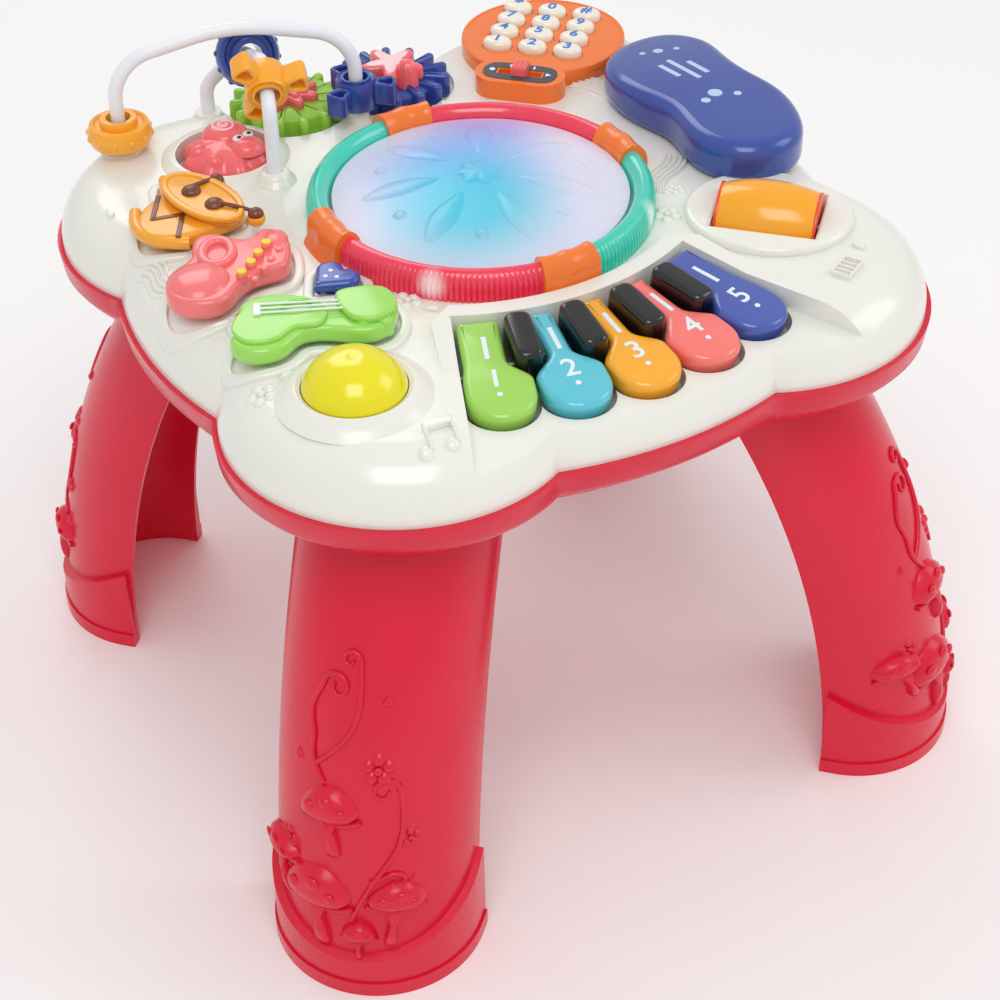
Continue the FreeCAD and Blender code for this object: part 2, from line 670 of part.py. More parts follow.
# Telephone keypad, its twelve buttons, the volume switch and the lift-off handset
body = cylinder(keypad_at[0], keypad_at[1], 258, keypad_radius, keypad_top_z - 258).cut(outer)
button_places = []
for row in range(4):
    for column in range(3):
        along = (column - 1) * 18.5
        back = (row - 1.5) * 14.0
        x = keypad_at[0] + 2 + (along + back) * math.sqrt(0.5)
        y = keypad_at[1] + 4 + (back - along) * math.sqrt(0.5)
        button_places.append((x, y))
for x, y in button_places:
    body = body.cut(rounded_bar(x, y, 275.0, button_long + 0.6, button_short + 0.6, 10, -45))
save(body, "keypad_housing")
for number, (x, y) in enumerate(button_places, 1):
    save(rounded_bar(x, y, 277.3, button_long, button_short, 8, -45), "keypad_button_" + str(number))

switch_body = rounded_bar(switch_at[0], switch_at[1], plateau_z, 46, 24, switch_top_z - plateau_z, -45)
switch_body = switch_body.cut(cylinder(keypad_at[0], keypad_at[1], 270, keypad_radius, 20))
slot_length = 2 * switch_travel + 8
switch_body = switch_body.cut(block(switch_at[0], switch_at[1], 277, slot_length, 5, 10, -45))
save(switch_body, "switch_housing")
slider = fuse([
    block(switch_at[0], switch_at[1], 277.3, 7, 4.4, switch_top_z - 276.5, -45),
    block(switch_at[0], switch_at[1], switch_top_z + 0.5, 7.5, 10, 4, -45),
])
save(slider, "switch_slider")

handset_outline = [(145, 84), (159, 77), (166, 60), (164, 40), (163, 18), (165, -3), (160, -27), (148, -45),
                   (130, -52), (113, -46), (103, -28), (104, -9), (106, 5), (102, 25), (101, 45), (110, 68),
                   (127, 81)]
handset_base = smooth_face(handset_outline, handset_bottom_z).extrude(V(0, 0, handset_split_z - handset_bottom_z))
handset_cover = smooth_face(handset_outline, handset_split_z).extrude(V(0, 0, handset_top_z - handset_split_z))
top_edges = [e for e in handset_cover.Edges if e.BoundBox.ZMin > handset_top_z - 0.1]
handset_cover = handset_cover.makeFillet(6.0, top_edges)
low_edges = [e for e in handset_base.Edges if e.BoundBox.ZMax < handset_bottom_z + 0.1]
handset_base = handset_base.makeFillet(5.0, low_edges)
save(handset_base, "handset_base")
save(handset_cover, "handset_cover")


# Bead wires: straight runs joined by tangent arcs
def bent_wire(points, radii):
    corners = [V(*p) for p in points]
    edges = []
    last = corners[0]
    for before, corner, after, radius in zip(corners, corners[1:], corners[2:], radii):
        back = (before - corner).normalize()
        on = (after - corner).normalize()
        half_angle = back.getAngle(on) / 2
        reach = radius / math.tan(half_angle)
        start = corner + back * reach
        end = corner + on * reach
        inward = (back + on).normalize()
        middle = corner + inward * (radius / math.sin(half_angle) - radius)
        edges.append(Part.LineSegment(last, start).toShape())
        edges.append(Part.Arc(start, middle, end).toShape())
        last = end
    edges.append(Part.LineSegment(last, corners[-1]).toShape())
    path = Part.Wire(edges)
    ring = Part.Wire(Part.Circle(corners[0], UP, wire_radius).toShape())
    tube = path.makePipeShell([ring], True, False)
    ratio = tube.Volume / (math.pi * wire_radius ** 2 * path.Length)
    print("wire length", round(path.Length), "volume ratio", round(ratio, 3))
    return tube


long_points = [
    (*long_wire_left, wire_root_z), (*long_wire_left, 318), (-66, 122, 331), (*long_wire_right, 318),
    (*long_wire_right, wire_root_z),
]
save(bent_wire(long_points, [24, 90, 24]), "maze_wire_long")
cross_points = [
    (*cross_wire_front, wire_root_z), (-71, 72, 312), (-62, 97, 322), (-52, 148.4, 302), (*cross_wire_back, 288),
    (*cross_wire_back, wire_root_z),
]
save(bent_wire(cross_points, [10, 20, 8, 10]), "maze_wire_cross")


def bead_hub():
    tube = cylinder(0, 0, 0, bead_hub_radius, bead_height)
    return tube.cut(cylinder(0, 0, -1, bead_bore, bead_height + 2))


def flower_bead():
    petals = [bead_hub()]
    band = cylinder(0, 0, 3, 13.5, 10).cut(cylinder(0, 0, 2, bead_hub_radius - 1, 12))
    petals.append(band)
    for step in range(10):
        angle = 2 * math.pi * step / 10
        petals.append(cylinder(13.5 * math.cos(angle), 13.5 * math.sin(angle), 3, 2.6, 10))
    return fuse(petals)


def bow_bead(turn):
    parts = []
    for step in range(3):
        loop = rounded_bar(13.5, 0, 1, 14, 11, 13).cut(rounded_bar(13.5, 0, 0, 9, 6, 16))
        loop.rotate(V(0, 0, 0), UP, turn + 120 * step)
        parts.append(loop)
    return fuse([cylinder(0, 0, 0, bead_hub_radius, bead_height)] + parts).cut(
        cylinder(0, 0, -1, bead_bore, bead_height + 2))


def placed(shape, centre, axis):
    """Put a bead's middle at the centre with its bore along the axis."""
    shape.translate(V(0, 0, -bead_height / 2))
    shape.Placement = FreeCAD.Placement(centre, FreeCAD.Rotation(UP, axis)).multiply(shape.Placement)
    return shape


rest = collar_z + 0.4 + bead_height / 2
save(placed(flower_bead(), V(*long_wire_left, rest), UP), "bead_flower_orange")
save(placed(bow_bead(90), V(*long_wire_right, 280 + bead_height / 2), UP), "bead_bow_blue")
bow_axis = V(-62, 97, 322) - V(-71, 72, 312)
save(placed(bow_bead(90), V(-66.5, 84.5, 317), bow_axis), "bead_bow_orange")
flower_axis = V(-52, 148.4, 302) - V(-62, 97, 322)
save(placed(flower_bead(), V(-55.6, 130, 309.1), flower_axis), "bead_flower_blue")
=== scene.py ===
import math

import bmesh
import bpy
from mathutils import Matrix, Vector
from mathutils.bvhtree import BVHTree


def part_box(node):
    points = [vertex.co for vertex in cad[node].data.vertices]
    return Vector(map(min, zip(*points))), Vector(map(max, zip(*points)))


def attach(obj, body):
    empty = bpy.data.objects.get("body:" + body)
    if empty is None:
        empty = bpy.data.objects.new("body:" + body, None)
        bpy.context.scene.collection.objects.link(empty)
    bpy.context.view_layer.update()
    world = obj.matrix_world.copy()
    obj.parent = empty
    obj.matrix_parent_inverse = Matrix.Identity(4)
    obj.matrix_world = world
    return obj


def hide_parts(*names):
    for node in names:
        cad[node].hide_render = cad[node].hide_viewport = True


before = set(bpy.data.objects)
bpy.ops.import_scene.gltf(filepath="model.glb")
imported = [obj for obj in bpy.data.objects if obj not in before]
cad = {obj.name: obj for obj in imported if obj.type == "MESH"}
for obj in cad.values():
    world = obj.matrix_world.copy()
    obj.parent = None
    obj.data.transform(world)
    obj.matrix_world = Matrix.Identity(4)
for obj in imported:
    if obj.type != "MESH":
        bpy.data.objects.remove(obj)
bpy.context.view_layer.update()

MM = 0.001

# Upper casing: the lobed ivory top that carries every toy. Glossy ABS from one polished mould, with
# low relief patterns cast into it. It is screwed to the tray from below.


def paint(code):
    """The linear colour of an sRGB hex value."""
    parts = [int(code[i:i + 2], 16) / 255 for i in (0, 2, 4)]
    return [c / 12.92 if c <= 0.04045 else ((c + 0.055) / 1.055) ** 2.4 for c in parts] + [1.0]


def add(tree, kind, links=None, values=None, **settings):
    """One shader node with its settings, its own values and what is linked into it."""
    made = tree.nodes.new(kind)
    for key, value in settings.items():
        setattr(made, key, value)
    for key, value in (values or {}).items():
        made.inputs[key].default_value = value
    for key, socket in (links or {}).items():
        tree.links.new(socket, made.inputs[key])
    return made


def plastic(name, colour, deep, roughness, flow_mm=30.0, grain_mm=1.0, relief_mm=0.01, coat=0.0,
            coat_roughness=0.03, **surface):
    """A moulded plastic: colour that drifts along the melt flow, uneven gloss and a faint skin."""
    material = bpy.data.materials.new(name)
    material.use_nodes = True
    tree = material.node_tree
    tree.nodes.clear()
    place = add(tree, "ShaderNodeTexCoord").outputs["Object"]
    flow = add(tree, "ShaderNodeTexNoise", {"Vector": place},
               {"Scale": 1 / (flow_mm * MM), "Detail": 3.0})
    grain = add(tree, "ShaderNodeTexNoise", {"Vector": place},
                {"Scale": 1 / (grain_mm * MM), "Detail": 2.0})
    tone = add(tree, "ShaderNodeMixRGB", {"Fac": flow.outputs["Fac"]},
               {"Color1": paint(colour), "Color2": paint(deep)})
    gloss = add(tree, "ShaderNodeMapRange", {"Value": flow.outputs["Fac"]},
                {"To Min": roughness * 0.8, "To Max": roughness * 1.25})
    skin = add(tree, "ShaderNodeBump", {"Height": grain.outputs["Fac"]},
               {"Strength": 0.5, "Distance": relief_mm * MM})
    shader = add(tree, "ShaderNodeBsdfPrincipled",
                 {"Base Color": tone.outputs["Color"], "Roughness": gloss.outputs["Result"],
                  "Normal": skin.outputs["Normal"]},
                 {"IOR": 1.53, "Coat Weight": coat, "Coat Roughness": coat_roughness, **surface})
    add(tree, "ShaderNodeOutputMaterial", {"Surface": shader.outputs["BSDF"]})
    return material


# Ivory ABS: a warm white with a polished face and a trace of depth under it
ivory_abs = plastic("Ivory ABS, polished mould", "F1F0E8", "ECEBE2", 0.2,
                    **{"Subsurface Weight": 0.06, "Subsurface Scale": 0.004, "Coat Weight": 0.25,
                       "Coat Roughness": 0.1})


def dress(node, material):
    """Gives a frame node its finish."""
    mesh = cad[node].data
    mesh.materials.clear()
    mesh.materials.append(material)


dress("top_shell", ivory_abs)
casing = BVHTree.FromObject(cad["top_shell"], bpy.context.evaluated_depsgraph_get())


casing_rim_z = 246.0
above_all = 0.4


def casing_z(x, y):
    """Height of the casing's upper face in mm."""
    hit = casing.ray_cast(Vector((x * MM, y * MM, above_all)), Vector((0, 0, -1)))[0]
    return hit.z / MM if hit else casing_rim_z


crisp_edge = math.radians(42)
weld_gap = 0.004 * MM


def piece(name, mesh, material, body="root", instead=()):
    """An object from a mesh in metres, smooth up to crisp edges, on a body, in place of frame nodes."""
    shape = bmesh.new()
    shape.from_mesh(mesh)
    bmesh.ops.remove_doubles(shape, verts=shape.verts, dist=weld_gap)
    bmesh.ops.recalc_face_normals(shape, faces=shape.faces)
    shape.to_mesh(mesh)
    shape.free()
    for polygon in mesh.polygons:
        polygon.use_smooth = True
    mesh.set_sharp_from_angle(angle=crisp_edge)
    mesh.materials.clear()
    mesh.materials.append(material)
    made = bpy.data.objects.new(name, mesh)
    bpy.context.scene.collection.objects.link(made)
    if instead:
        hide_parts(*instead)
    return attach(made, body)


def from_curve(curve):
    """The mesh of a curve or of lettering; the curve itself is removed."""
    holder = bpy.data.objects.new("drawing", curve)
    bpy.context.scene.collection.objects.link(holder)
    bpy.context.view_layer.update()
    mesh = bpy.data.meshes.new_from_object(holder.evaluated_get(bpy.context.evaluated_depsgraph_get()))
    bpy.data.objects.remove(holder)
    return mesh


def moved(mesh, x=0.0, y=0.0, z=0.0, turn=0.0, tilt=0.0, scale=1.0):
    """A mesh scaled, tilted about X, turned about Z and set at a place in mm."""
    mesh.transform(Matrix.Translation((x * MM, y * MM, z * MM))
                   @ Matrix.Rotation(math.radians(turn), 4, "Z")
                   @ Matrix.Rotation(math.radians(tilt), 4, "X") @ Matrix.Scale(scale, 4))
    return mesh


def slab(outlines, thick, rounding, steps=4):
    """A flat moulding with rounded edges that stands on z = 0; outlines and holes in mm."""
    curve = bpy.data.curves.new("outline", "CURVE")
    curve.dimensions = "2D"
    curve.fill_mode = "BOTH"
    curve.bevel_depth = rounding * MM
    curve.bevel_resolution = steps
    curve.extrude = max(thick / 2 - rounding, 0) * MM
    curve.offset = -rounding * MM
    for points in outlines:
        spline = curve.splines.new("POLY")
        spline.points.add(len(points) - 1)
        for point, (x, y) in zip(spline.points, points):
            point.co = (x * MM, y * MM, 0, 1)
        spline.use_cyclic_u = True
    return moved(from_curve(curve), z=thick / 2)


def joined(meshes):
    """Several meshes as one."""
    shape = bmesh.new()
    for mesh in meshes:
        shape.from_mesh(mesh)
    whole = bpy.data.meshes.new("joined")
    shape.to_mesh(whole)
    shape.free()
    return whole


def smooth_loop(points, steps=8):
    """A closed smooth line through the points."""
    count = len(points)
    line = []
    for i in range(count):
        p0, p1, p2, p3 = (Vector(points[(i + k) % count]) for k in (-1, 0, 1, 2))
        for step in range(steps):
            t = step / steps
            line.append(0.5 * (2 * p1 + (p2 - p0) * t + (2 * p0 - 5 * p1 + 4 * p2 - p3) * t * t
                               + (3 * p1 - p0 - 3 * p2 + p3) * t ** 3))
    return [tuple(p) for p in line]


def ring_points(radius, count=40, x=0.0, y=0.0, squeeze=1.0, lobes=0, depth=0.0, start=0.0):
    """A circle in mm; it may be an oval or have lobes."""
    line = []
    for step in range(count):
        angle = 2 * math.pi * step / count
        reach = radius * (1 + depth * math.cos(lobes * angle))
        line.append((x + reach * math.cos(angle + start), y + reach * squeeze * math.sin(angle + start)))
    return line


def tube(points, radius, taper=None):
    """A round bar of that radius along points in mm."""
    curve = bpy.data.curves.new("route", "CURVE")
    curve.dimensions = "3D"
    curve.bevel_depth = radius * MM
    curve.bevel_resolution = 3
    curve.use_fill_caps = True
    spline = curve.splines.new("NURBS")
    spline.points.add(len(points) - 1)
    for number, (point, place) in enumerate(zip(spline.points, points)):
        point.co = (*(c * MM for c in place), 1)
        point.radius = taper[number] if taper else 1.0
    spline.order_u = 4
    spline.use_endpoint_u = True
    return from_curve(curve)


def draped(mesh, lift=-0.3):
    """Lays a mesh drawn on z = 0 over the casing."""
    for vertex in mesh.vertices:
        vertex.co.z += (casing_z(vertex.co.x / MM, vertex.co.y / MM) + lift) * MM
    return mesh


def ball(x, y, z, radius, tall=1.0, steps=20):
    """A ball or an upright oval in mm."""
    shape = bmesh.new()
    bmesh.ops.create_uvsphere(shape, u_segments=steps, v_segments=steps // 2, radius=radius * MM)
    mesh = bpy.data.meshes.new("ball")
    shape.to_mesh(mesh)
    shape.free()
    mesh.transform(Matrix.Translation((x * MM, y * MM, z * MM)) @ Matrix.Diagonal((1, 1, tall, 1)))
    return mesh


# The relief: five-line staves, paired notes, small flowers, a strip of keys and drops
relief = []
stave_gap = 2.6
stave_bar = 0.75
relief_stretch = 1.6
for x, y, turn, length in ((92, -22, 40, 34), (104, 66, -60, 30), (-146, 24, 100, 26),
                           (-104, 74, 40, 22)):
    for line in range(5):
        points = []
        for s in range(9):
            points.append((-length / 2 + length * s / 8, line * stave_gap + 2.2 * math.sin(s * 0.7), 0))
        relief.append(moved(tube(points, stave_bar), x, y, 0.35, turn))
for x, y, turn, size in ((-103, -146, -14, 1.25), (118, 28, 30, 0.9), (-58, -98, 10, 0.8),
                         (30, 96, 60, 0.7)):
    note = [ball(-4.6, -5, 0, 2.6, 0.5), ball(4.6, -3.4, 0, 2.6, 0.5)]
    bars = [(-3.2, -5), (-2, -5), (-2, 3.6), (6, 5.2), (6, -3.4), (7.2, -3.4), (7.2, 9), (-3.2, 7)]
    note.append(slab([bars], 1.6, 0.5))
    relief.append(moved(joined(note), x, y, 0, turn, 0, size))
petal_angles = (0.3, 1.56, 2.81, 4.07, 5.33)
for x, y, size in ((-66, -52, 1.0), (70, -50, 1.0), (86, -33, 0.7), (-150, -82, 1.0), (132, -22, 0.8),
                   (88, 98, 0.8)):
    petals = [ball(4.4 * math.cos(a), 4.4 * math.sin(a), 0, 2.7, 0.42) for a in petal_angles]
    relief.append(moved(joined(petals + [ball(0, 0, 0.4, 1.7, 0.6)]), x, y, 0, 0, 0, size))
strip = [slab([[(-7, -4.5), (7, -4.5), (7, 4.5), (-7, 4.5)], [(-6, -3.5), (-6, 3.5), (6, 3.5),
                                                              (6, -3.5)]], 1.6, 0.3)]
for x in (-3, 0, 3):
    strip.append(slab([[(x - 0.5, -3.6), (x + 0.5, -3.6), (x + 0.5, 3.6), (x - 0.5, 3.6)]], 1.4, 0.3))
relief.append(moved(joined(strip), 112, -130, 0, 28, 0, 1.1))
for x, y, turn in ((128, -118, 30), (-60, -64, 60), (96, -50, 10), (-150, 84, 0), (58, 70, 20),
                   (-136, -76, 120)):
    drop = slab([smooth_loop([(-1.6, -2), (1.6, -2), (1.2, 1.2), (0, 4), (-1.2, 1.2)])], 1.3, 0.6)
    relief.append(moved(drop, x, y, 0, turn))
relief_mesh = joined(relief)
relief_mesh.transform(Matrix.Diagonal((1, 1, relief_stretch, 1)))
relief_mesh = draped(relief_mesh, -0.2)
piece("casing_relief", relief_mesh, ivory_abs)

# Tray and battery door: the crimson lower half of the body, ABS from a polished mould like the top.
# Its rim stands a little proud of the ivory casing and catches the light as a thin bright line.
# Crimson ABS: a deep even red whose sheen is broader and softer than the ivory's
crimson_abs = plastic("Crimson ABS, polished mould", "E2173B", "DA1335", 0.27, coat=0.1,
                      coat_roughness=0.15, **{"Specular IOR Level": 0.35})
# The tray's edge tucks in under the rim: how far, in mm, at each height
tuck = ((216.0, 7.0), (221.0, 11.5), (226.0, 9.5), (231.0, 4.5), (238.0, 0.0))
tuck_full = 22.0
tuck_none = 32.0
outside = 0.35
wall_height = 0.243
tray = cad["bottom_shell"].data.copy()
tray_wall = BVHTree.FromObject(cad["bottom_shell"], bpy.context.evaluated_depsgraph_get())
for vertex in tray.vertices:
    x, y, z = (c / MM for c in vertex.co)
    if z >= tuck[-1][0]:
        continue
    out = Vector((x, y, 0)).normalized()
    hit = tray_wall.ray_cast(out * outside + Vector((0, 0, wall_height)), -out)[0]
    inward = math.hypot(hit.x, hit.y) / MM - math.hypot(x, y)
    share = max(0.0, min(1.0, (tuck_none - inward) / (tuck_none - tuck_full)))
    for (z0, pull0), (z1, pull1) in zip(tuck[:-1], tuck[1:]):
        if z < z1:
            pull = pull0 + (pull1 - pull0) * max(0.0, z - z0) / (z1 - z0)
            break
    vertex.co -= out * pull * share * MM
piece("tucked_tray", tray, crimson_abs, instead=["bottom_shell"])
dress("battery_door", crimson_abs)

# Legs: four hollow half tubes that plug into the tray. The crimson ABS is the same, and each outer
# face carries a cast relief of toadstools, curling stems, a flower and drops.
foot_outer = 239.5
leg_half = 46.0
leg_arc = 385.0
leg_middle = foot_outer - leg_half
arc_centre = foot_outer - leg_arc


def leg_face(across, z, lift=0.0):
    """A point in mm on a leg's outer face, as a leg that stands along +X: across it, at a height."""
    across = max(-leg_half + 0.5, min(leg_half - 0.5, across))
    bulge = math.sqrt(leg_half ** 2 - across ** 2)
    reach = leg_middle - arc_centre + bulge + lift * bulge / leg_half
    rise = math.asin(max(-1.0, min(1.0, z / reach)))
    return (arc_centre + reach * math.cos(rise), across + lift * across / leg_half, z
            + lift * math.sin(rise) * 0.5)


def leg_mesh(mesh):
    """Wraps a mesh drawn flat, x across and y up the leg and z off its face, on to that face."""
    for vertex in mesh.vertices:
        x, y, z = (c / MM for c in vertex.co)
        vertex.co = Vector(leg_face(x, y, z)) * MM
    return mesh


def blob(outline, height, x=0.0, y=0.0, rings=6):
    """A smooth raised form over a closed outline in mm."""
    shape = bmesh.new()
    crown = shape.verts.new((x * MM, y * MM, height * MM))
    last = None
    for ring in range(1, rings + 1):
        t = ring / rings
        z = height * math.sqrt(max(0.0, 1 - t ** 2.4)) - 0.4 * t
        row = [shape.verts.new(((x + px * t) * MM, (y + py * t) * MM, z * MM)) for px, py in outline]
        for i in range(len(row)):
            j = (i + 1) % len(row)
            if last:
                shape.faces.new((last[i], row[i], row[j], last[j]))
            else:
                shape.faces.new((crown, row[i], row[j]))
        last = row
    mesh = bpy.data.meshes.new("blob")
    shape.to_mesh(mesh)
    shape.free()
    return mesh


def toadstool(x, y, cap, stem, lean=0.0):
    """A toadstool: a stem with a domed cap, spots and a rolled lower rim."""
    stem_line = smooth_loop([(-cap * 0.2, 0), (-cap * 0.17, stem * 0.6), (-cap * 0.3, stem),
                             (cap * 0.3, stem), (cap * 0.17, stem * 0.6), (cap * 0.24, 0)])
    middle = stem / 2
    forms = [blob([(px, py - middle) for px, py in stem_line], 4.4, 0, middle)]
    cap_line = smooth_loop([(-cap, 0), (-cap * 0.85, cap * 0.5), (-cap * 0.3, cap * 0.95),
                            (cap * 0.35, cap * 0.95), (cap * 0.88, cap * 0.48), (cap, 0),
                            (cap * 0.5, -cap * 0.22), (-cap * 0.5, -cap * 0.22)])
    forms.append(blob([(px, py - cap * 0.3) for px, py in cap_line], 6.4, 0, stem + cap * 0.3))
    rim = [(cap * math.cos(a), stem - 0.16 * cap + 0.14 * cap * math.sin(a), 0.6)
           for a in [math.pi + math.pi * s / 8 for s in range(9)]]
    forms.append(tube(rim, 1.4))
    for dx, dy, size in ((-0.45, 0.42, 0.17), (0.1, 0.62, 0.2), (0.52, 0.3, 0.15)):
        forms.append(ball(dx * cap, stem + dy * cap, 5.6, size * cap, 0.5, 12))
    return moved(joined(forms), x, y, 0, lean)


def curl(points, radius=1.2):
    """A curling stem in relief along plan points in mm."""
    return tube([(x, y, 0.5) for x, y in points], radius,
                [1 - 0.5 * i / len(points) for i in range(len(points))])


def spiral(x, y, start, turns, size, side=1):
    """Points of a stem's curled end."""
    line = []
    for step in range(int(turns * 8) + 1):
        t = step / (turns * 8)
        angle = start + side * 2 * math.pi * turns * t
        reach = size * (1 - 0.8 * t)
        line.append((x + reach * math.cos(angle), y + reach * math.sin(angle)))
    return line


motif = [toadstool(-12, 26, 17, 26, 6), toadstool(18, 30, 12, 24, -6), toadstool(-29, 44, 9, 20, 14),
         toadstool(5, 22, 8, 14), toadstool(-6, 78, 14, 20, 8)]
motif.append(curl([(2, 44), (8, 62), (20, 78), (24, 92), (22, 110)] + spiral(15, 112, 0.2, 1.1, 7)))
motif.append(curl([(-12, 112), (-20, 122), (-16, 132), (-22, 142), (-14, 156)]
                  + spiral(-8, 156, 3.1, 1.2, 7, -1)))
motif.append(curl([(-16, 120), (-6, 130), (4, 142), (2, 164)] + spiral(-3, 168, 0.1, 1.0, 5)))
motif.append(curl([(10, 66), (18, 70)] + spiral(21, 66, 2.0, 0.9, 5, -1)))
for x, y, size in ((12, 122, 6.2), (-30, 74, 4.0), (26, 88, 3.6)):
    for petal in range(5):
        angle = 0.3 + 2 * math.pi * petal / 5
        centre = (x + size * 0.75 * math.cos(angle), y + size * 0.75 * math.sin(angle))
        motif.append(blob(ring_points(size * 0.52, 16), 1.5, *centre, rings=3))
    motif.append(ball(x, y, 1.0, size * 0.3, 0.6, 12))
for x, y, size in ((28, 64, 3.4), (-6, 100, 2.6), (22, 112, 2.4), (-26, 118, 2.4), (14, 152, 2.4),
                   (-32, 58, 3.0)):
    drop = smooth_loop([(-size, -size * 0.3), (0, -size), (size, -size * 0.3), (size * 0.3, size),
                        (0, size * 1.6), (-size * 0.3, size)], 4)
    motif.append(blob(drop, 1.6, x, y, rings=4))
motif_mesh = leg_mesh(joined(motif))
for place, turn in (("front_left", 225), ("front_right", 315), ("back_left", 135), ("back_right", 45)):
    dress("leg_" + place, crimson_abs)
    piece("leg_relief_" + place, moved(motif_mesh.copy(), turn=turn), crimson_abs)

# Drum ring: four clear quarters, two red and two teal, that pipe the light of small lamps inside.
# Clear polycarbonate, with fine upright ribs on the outside that break the light into lines.
ring_inner = 69.6
ring_outer = 80.6
ring_foot_z = 273.0
ring_crown_z = 287.0
ring_spring_z = 279.0
rib_count = 40
rib_depth = 1.0
clip_half = 9.0


def swept(profile, start, end, steps):
    """A closed (radius, z) section in mm carried round the drum; it may change along the sweep."""
    shape = bmesh.new()
    rows = []
    for step in range(steps + 1):
        share = step / steps
        angle = math.radians(start + (end - start) * share)
        rows.append([shape.verts.new((r * math.cos(angle) * MM, r * math.sin(angle) * MM, z * MM))
                     for r, z in profile(share)])
    for a, b in zip(rows[:-1], rows[1:]):
        for i in range(len(a)):
            j = (i + 1) % len(a)
            shape.faces.new((a[i], b[i], b[j], a[j]))
    shape.faces.new(rows[0])
    shape.faces.new(list(reversed(rows[-1])))
    mesh = bpy.data.meshes.new("swept")
    shape.to_mesh(mesh)
    shape.free()
    return mesh


def ring_profile(share):
    """The ring's section, with the outer wall cut back between two ribs."""
    rib = rib_depth * max(0.0, math.cos(2 * math.pi * rib_count * share)) ** 2
    line = [(ring_inner, ring_foot_z), (ring_outer - rib, ring_foot_z), (ring_outer - rib, ring_spring_z)]
    centre_r = (ring_inner + ring_outer) / 2
    half_width = (ring_outer - ring_inner) / 2
    for step in range(1, 12):
        angle = math.pi * step / 12
        cut = rib * max(0.0, math.cos(angle)) * 0.8
        line.append((centre_r + (half_width - cut) * math.cos(angle), ring_spring_z
                     + (ring_crown_z - ring_spring_z) * math.sin(angle)))
    return line + [(ring_inner, ring_spring_z)]


def clear_plastic(name, colour, deep):
    """Tinted clear polycarbonate: a little light passes, and the rest glows in the tint."""
    return plastic(name, colour, deep, 0.16,
                   **{"Transmission Weight": 0.08, "IOR": 1.58, "Coat Weight": 0.4,
                      "Coat Roughness": 0.06, "Subsurface Weight": 0.2, "Subsurface Scale": 0.006})


def lit(material, pools, strength, share=0.9):
    """Soft pools of lamp light under a surface: each a place, an inner and outer reach in mm, a tint."""
    tree = material.node_tree
    place = add(tree, "ShaderNodeTexCoord").outputs["Object"]
    shader = next(n for n in tree.nodes if n.type == "BSDF_PRINCIPLED")
    colour = shader.inputs["Base Color"].links[0].from_socket
    for spot, inner, outer, tint in pools:
        away = add(tree, "ShaderNodeVectorMath", {0: place}, {1: [c * MM for c in spot]},
                   operation="DISTANCE")
        glow = add(tree, "ShaderNodeMapRange", {"Value": away.outputs["Value"]},
                   {"From Min": inner * MM, "From Max": outer * MM, "To Min": share, "To Max": 0.0},
                   interpolation_type="SMOOTHSTEP")
        colour = add(tree, "ShaderNodeMixRGB", {"Fac": glow.outputs["Result"], "Color1": colour},
                     {"Color2": paint(tint)}).outputs["Color"]
    tree.links.new(colour, shader.inputs["Base Color"])
    tree.links.new(colour, shader.inputs["Emission Color"])
    shader.inputs["Emission Strength"].default_value = strength
    return material


lamp_reach = 78.5
lamp_z = 280.0


def lamp_spots(turns, tint):
    """The lamps behind the outer wall of two opposite quarters."""
    spots = []
    for turn in turns:
        angle = math.radians(turn)
        spots.append(((lamp_reach * math.cos(angle), lamp_reach * math.sin(angle), lamp_z), 1.5, 9.0,
                      tint))
    return spots


# Red and teal polycarbonate: bright clear tints that lighten to white where a lamp sits behind the ribs
red_polycarbonate = clear_plastic("Red clear polycarbonate, ribbed", "F03A58", "E43250")
teal_polycarbonate = clear_plastic("Teal clear polycarbonate, ribbed", "38CFB9", "2CC2AC")
lit(red_polycarbonate, lamp_spots((45, 225), "FFE9EC"), 0.12)
lit(teal_polycarbonate, lamp_spots((135, 315), "E9FFFB"), 0.12)
for place, start, material, slot in (("back_right", 0, red_polycarbonate, "red_clear"),
                                     ("back_left", 90, teal_polycarbonate, "teal_clear"),
                                     ("front_left", 180, red_polycarbonate, "red_clear"),
                                     ("front_right", 270, teal_polycarbonate, "teal_clear")):
    ring = swept(ring_profile, start + clip_half, start + 90 - clip_half, rib_count * 8)
    piece("ribbed_ring_" + place, ring, material, instead=["ring_" + place])

# Clips: four orange saddles that hold the ring quarters down. Glossy ABS with three raised bands
# over the top and a foot that spreads on the outside.
# Orange ABS: a full orange with a tight gloss
orange_abs = plastic("Orange ABS, polished mould", "F97F2C", "F37424", 0.22, coat=0.2, coat_roughness=0.1)
clip_middle = 76.0
clip_half_width = 6.0
clip_spring_z = 280.0
clip_rise = 8.4
clip_overlap = 0.8


def clip_profile(share):
    """The clip's section, which swells at its three bands and spreads at its outer foot."""
    band = (0.5 + 0.5 * math.cos(4 * math.pi * (share - 0.5))) ** 1.6
    grow = 0.9 + 0.55 * band
    line = [(ring_inner - 0.4, ring_foot_z), (85.4, ring_foot_z), (84.6, 275.0), (83.4, 277.0)]
    for step in range(0, 13):
        angle = math.pi * step / 12
        line.append((clip_middle + (clip_half_width + grow) * math.cos(angle), clip_spring_z
                     + (clip_rise + grow) * math.sin(angle)))
    return line


clip_sweep = clip_half + clip_overlap
clips = [swept(clip_profile, turn - clip_sweep, turn + clip_sweep, 48) for turn in (0, 90, 180, 270)]
piece("banded_clips", joined(clips), orange_abs, instead=["ring_clips"])

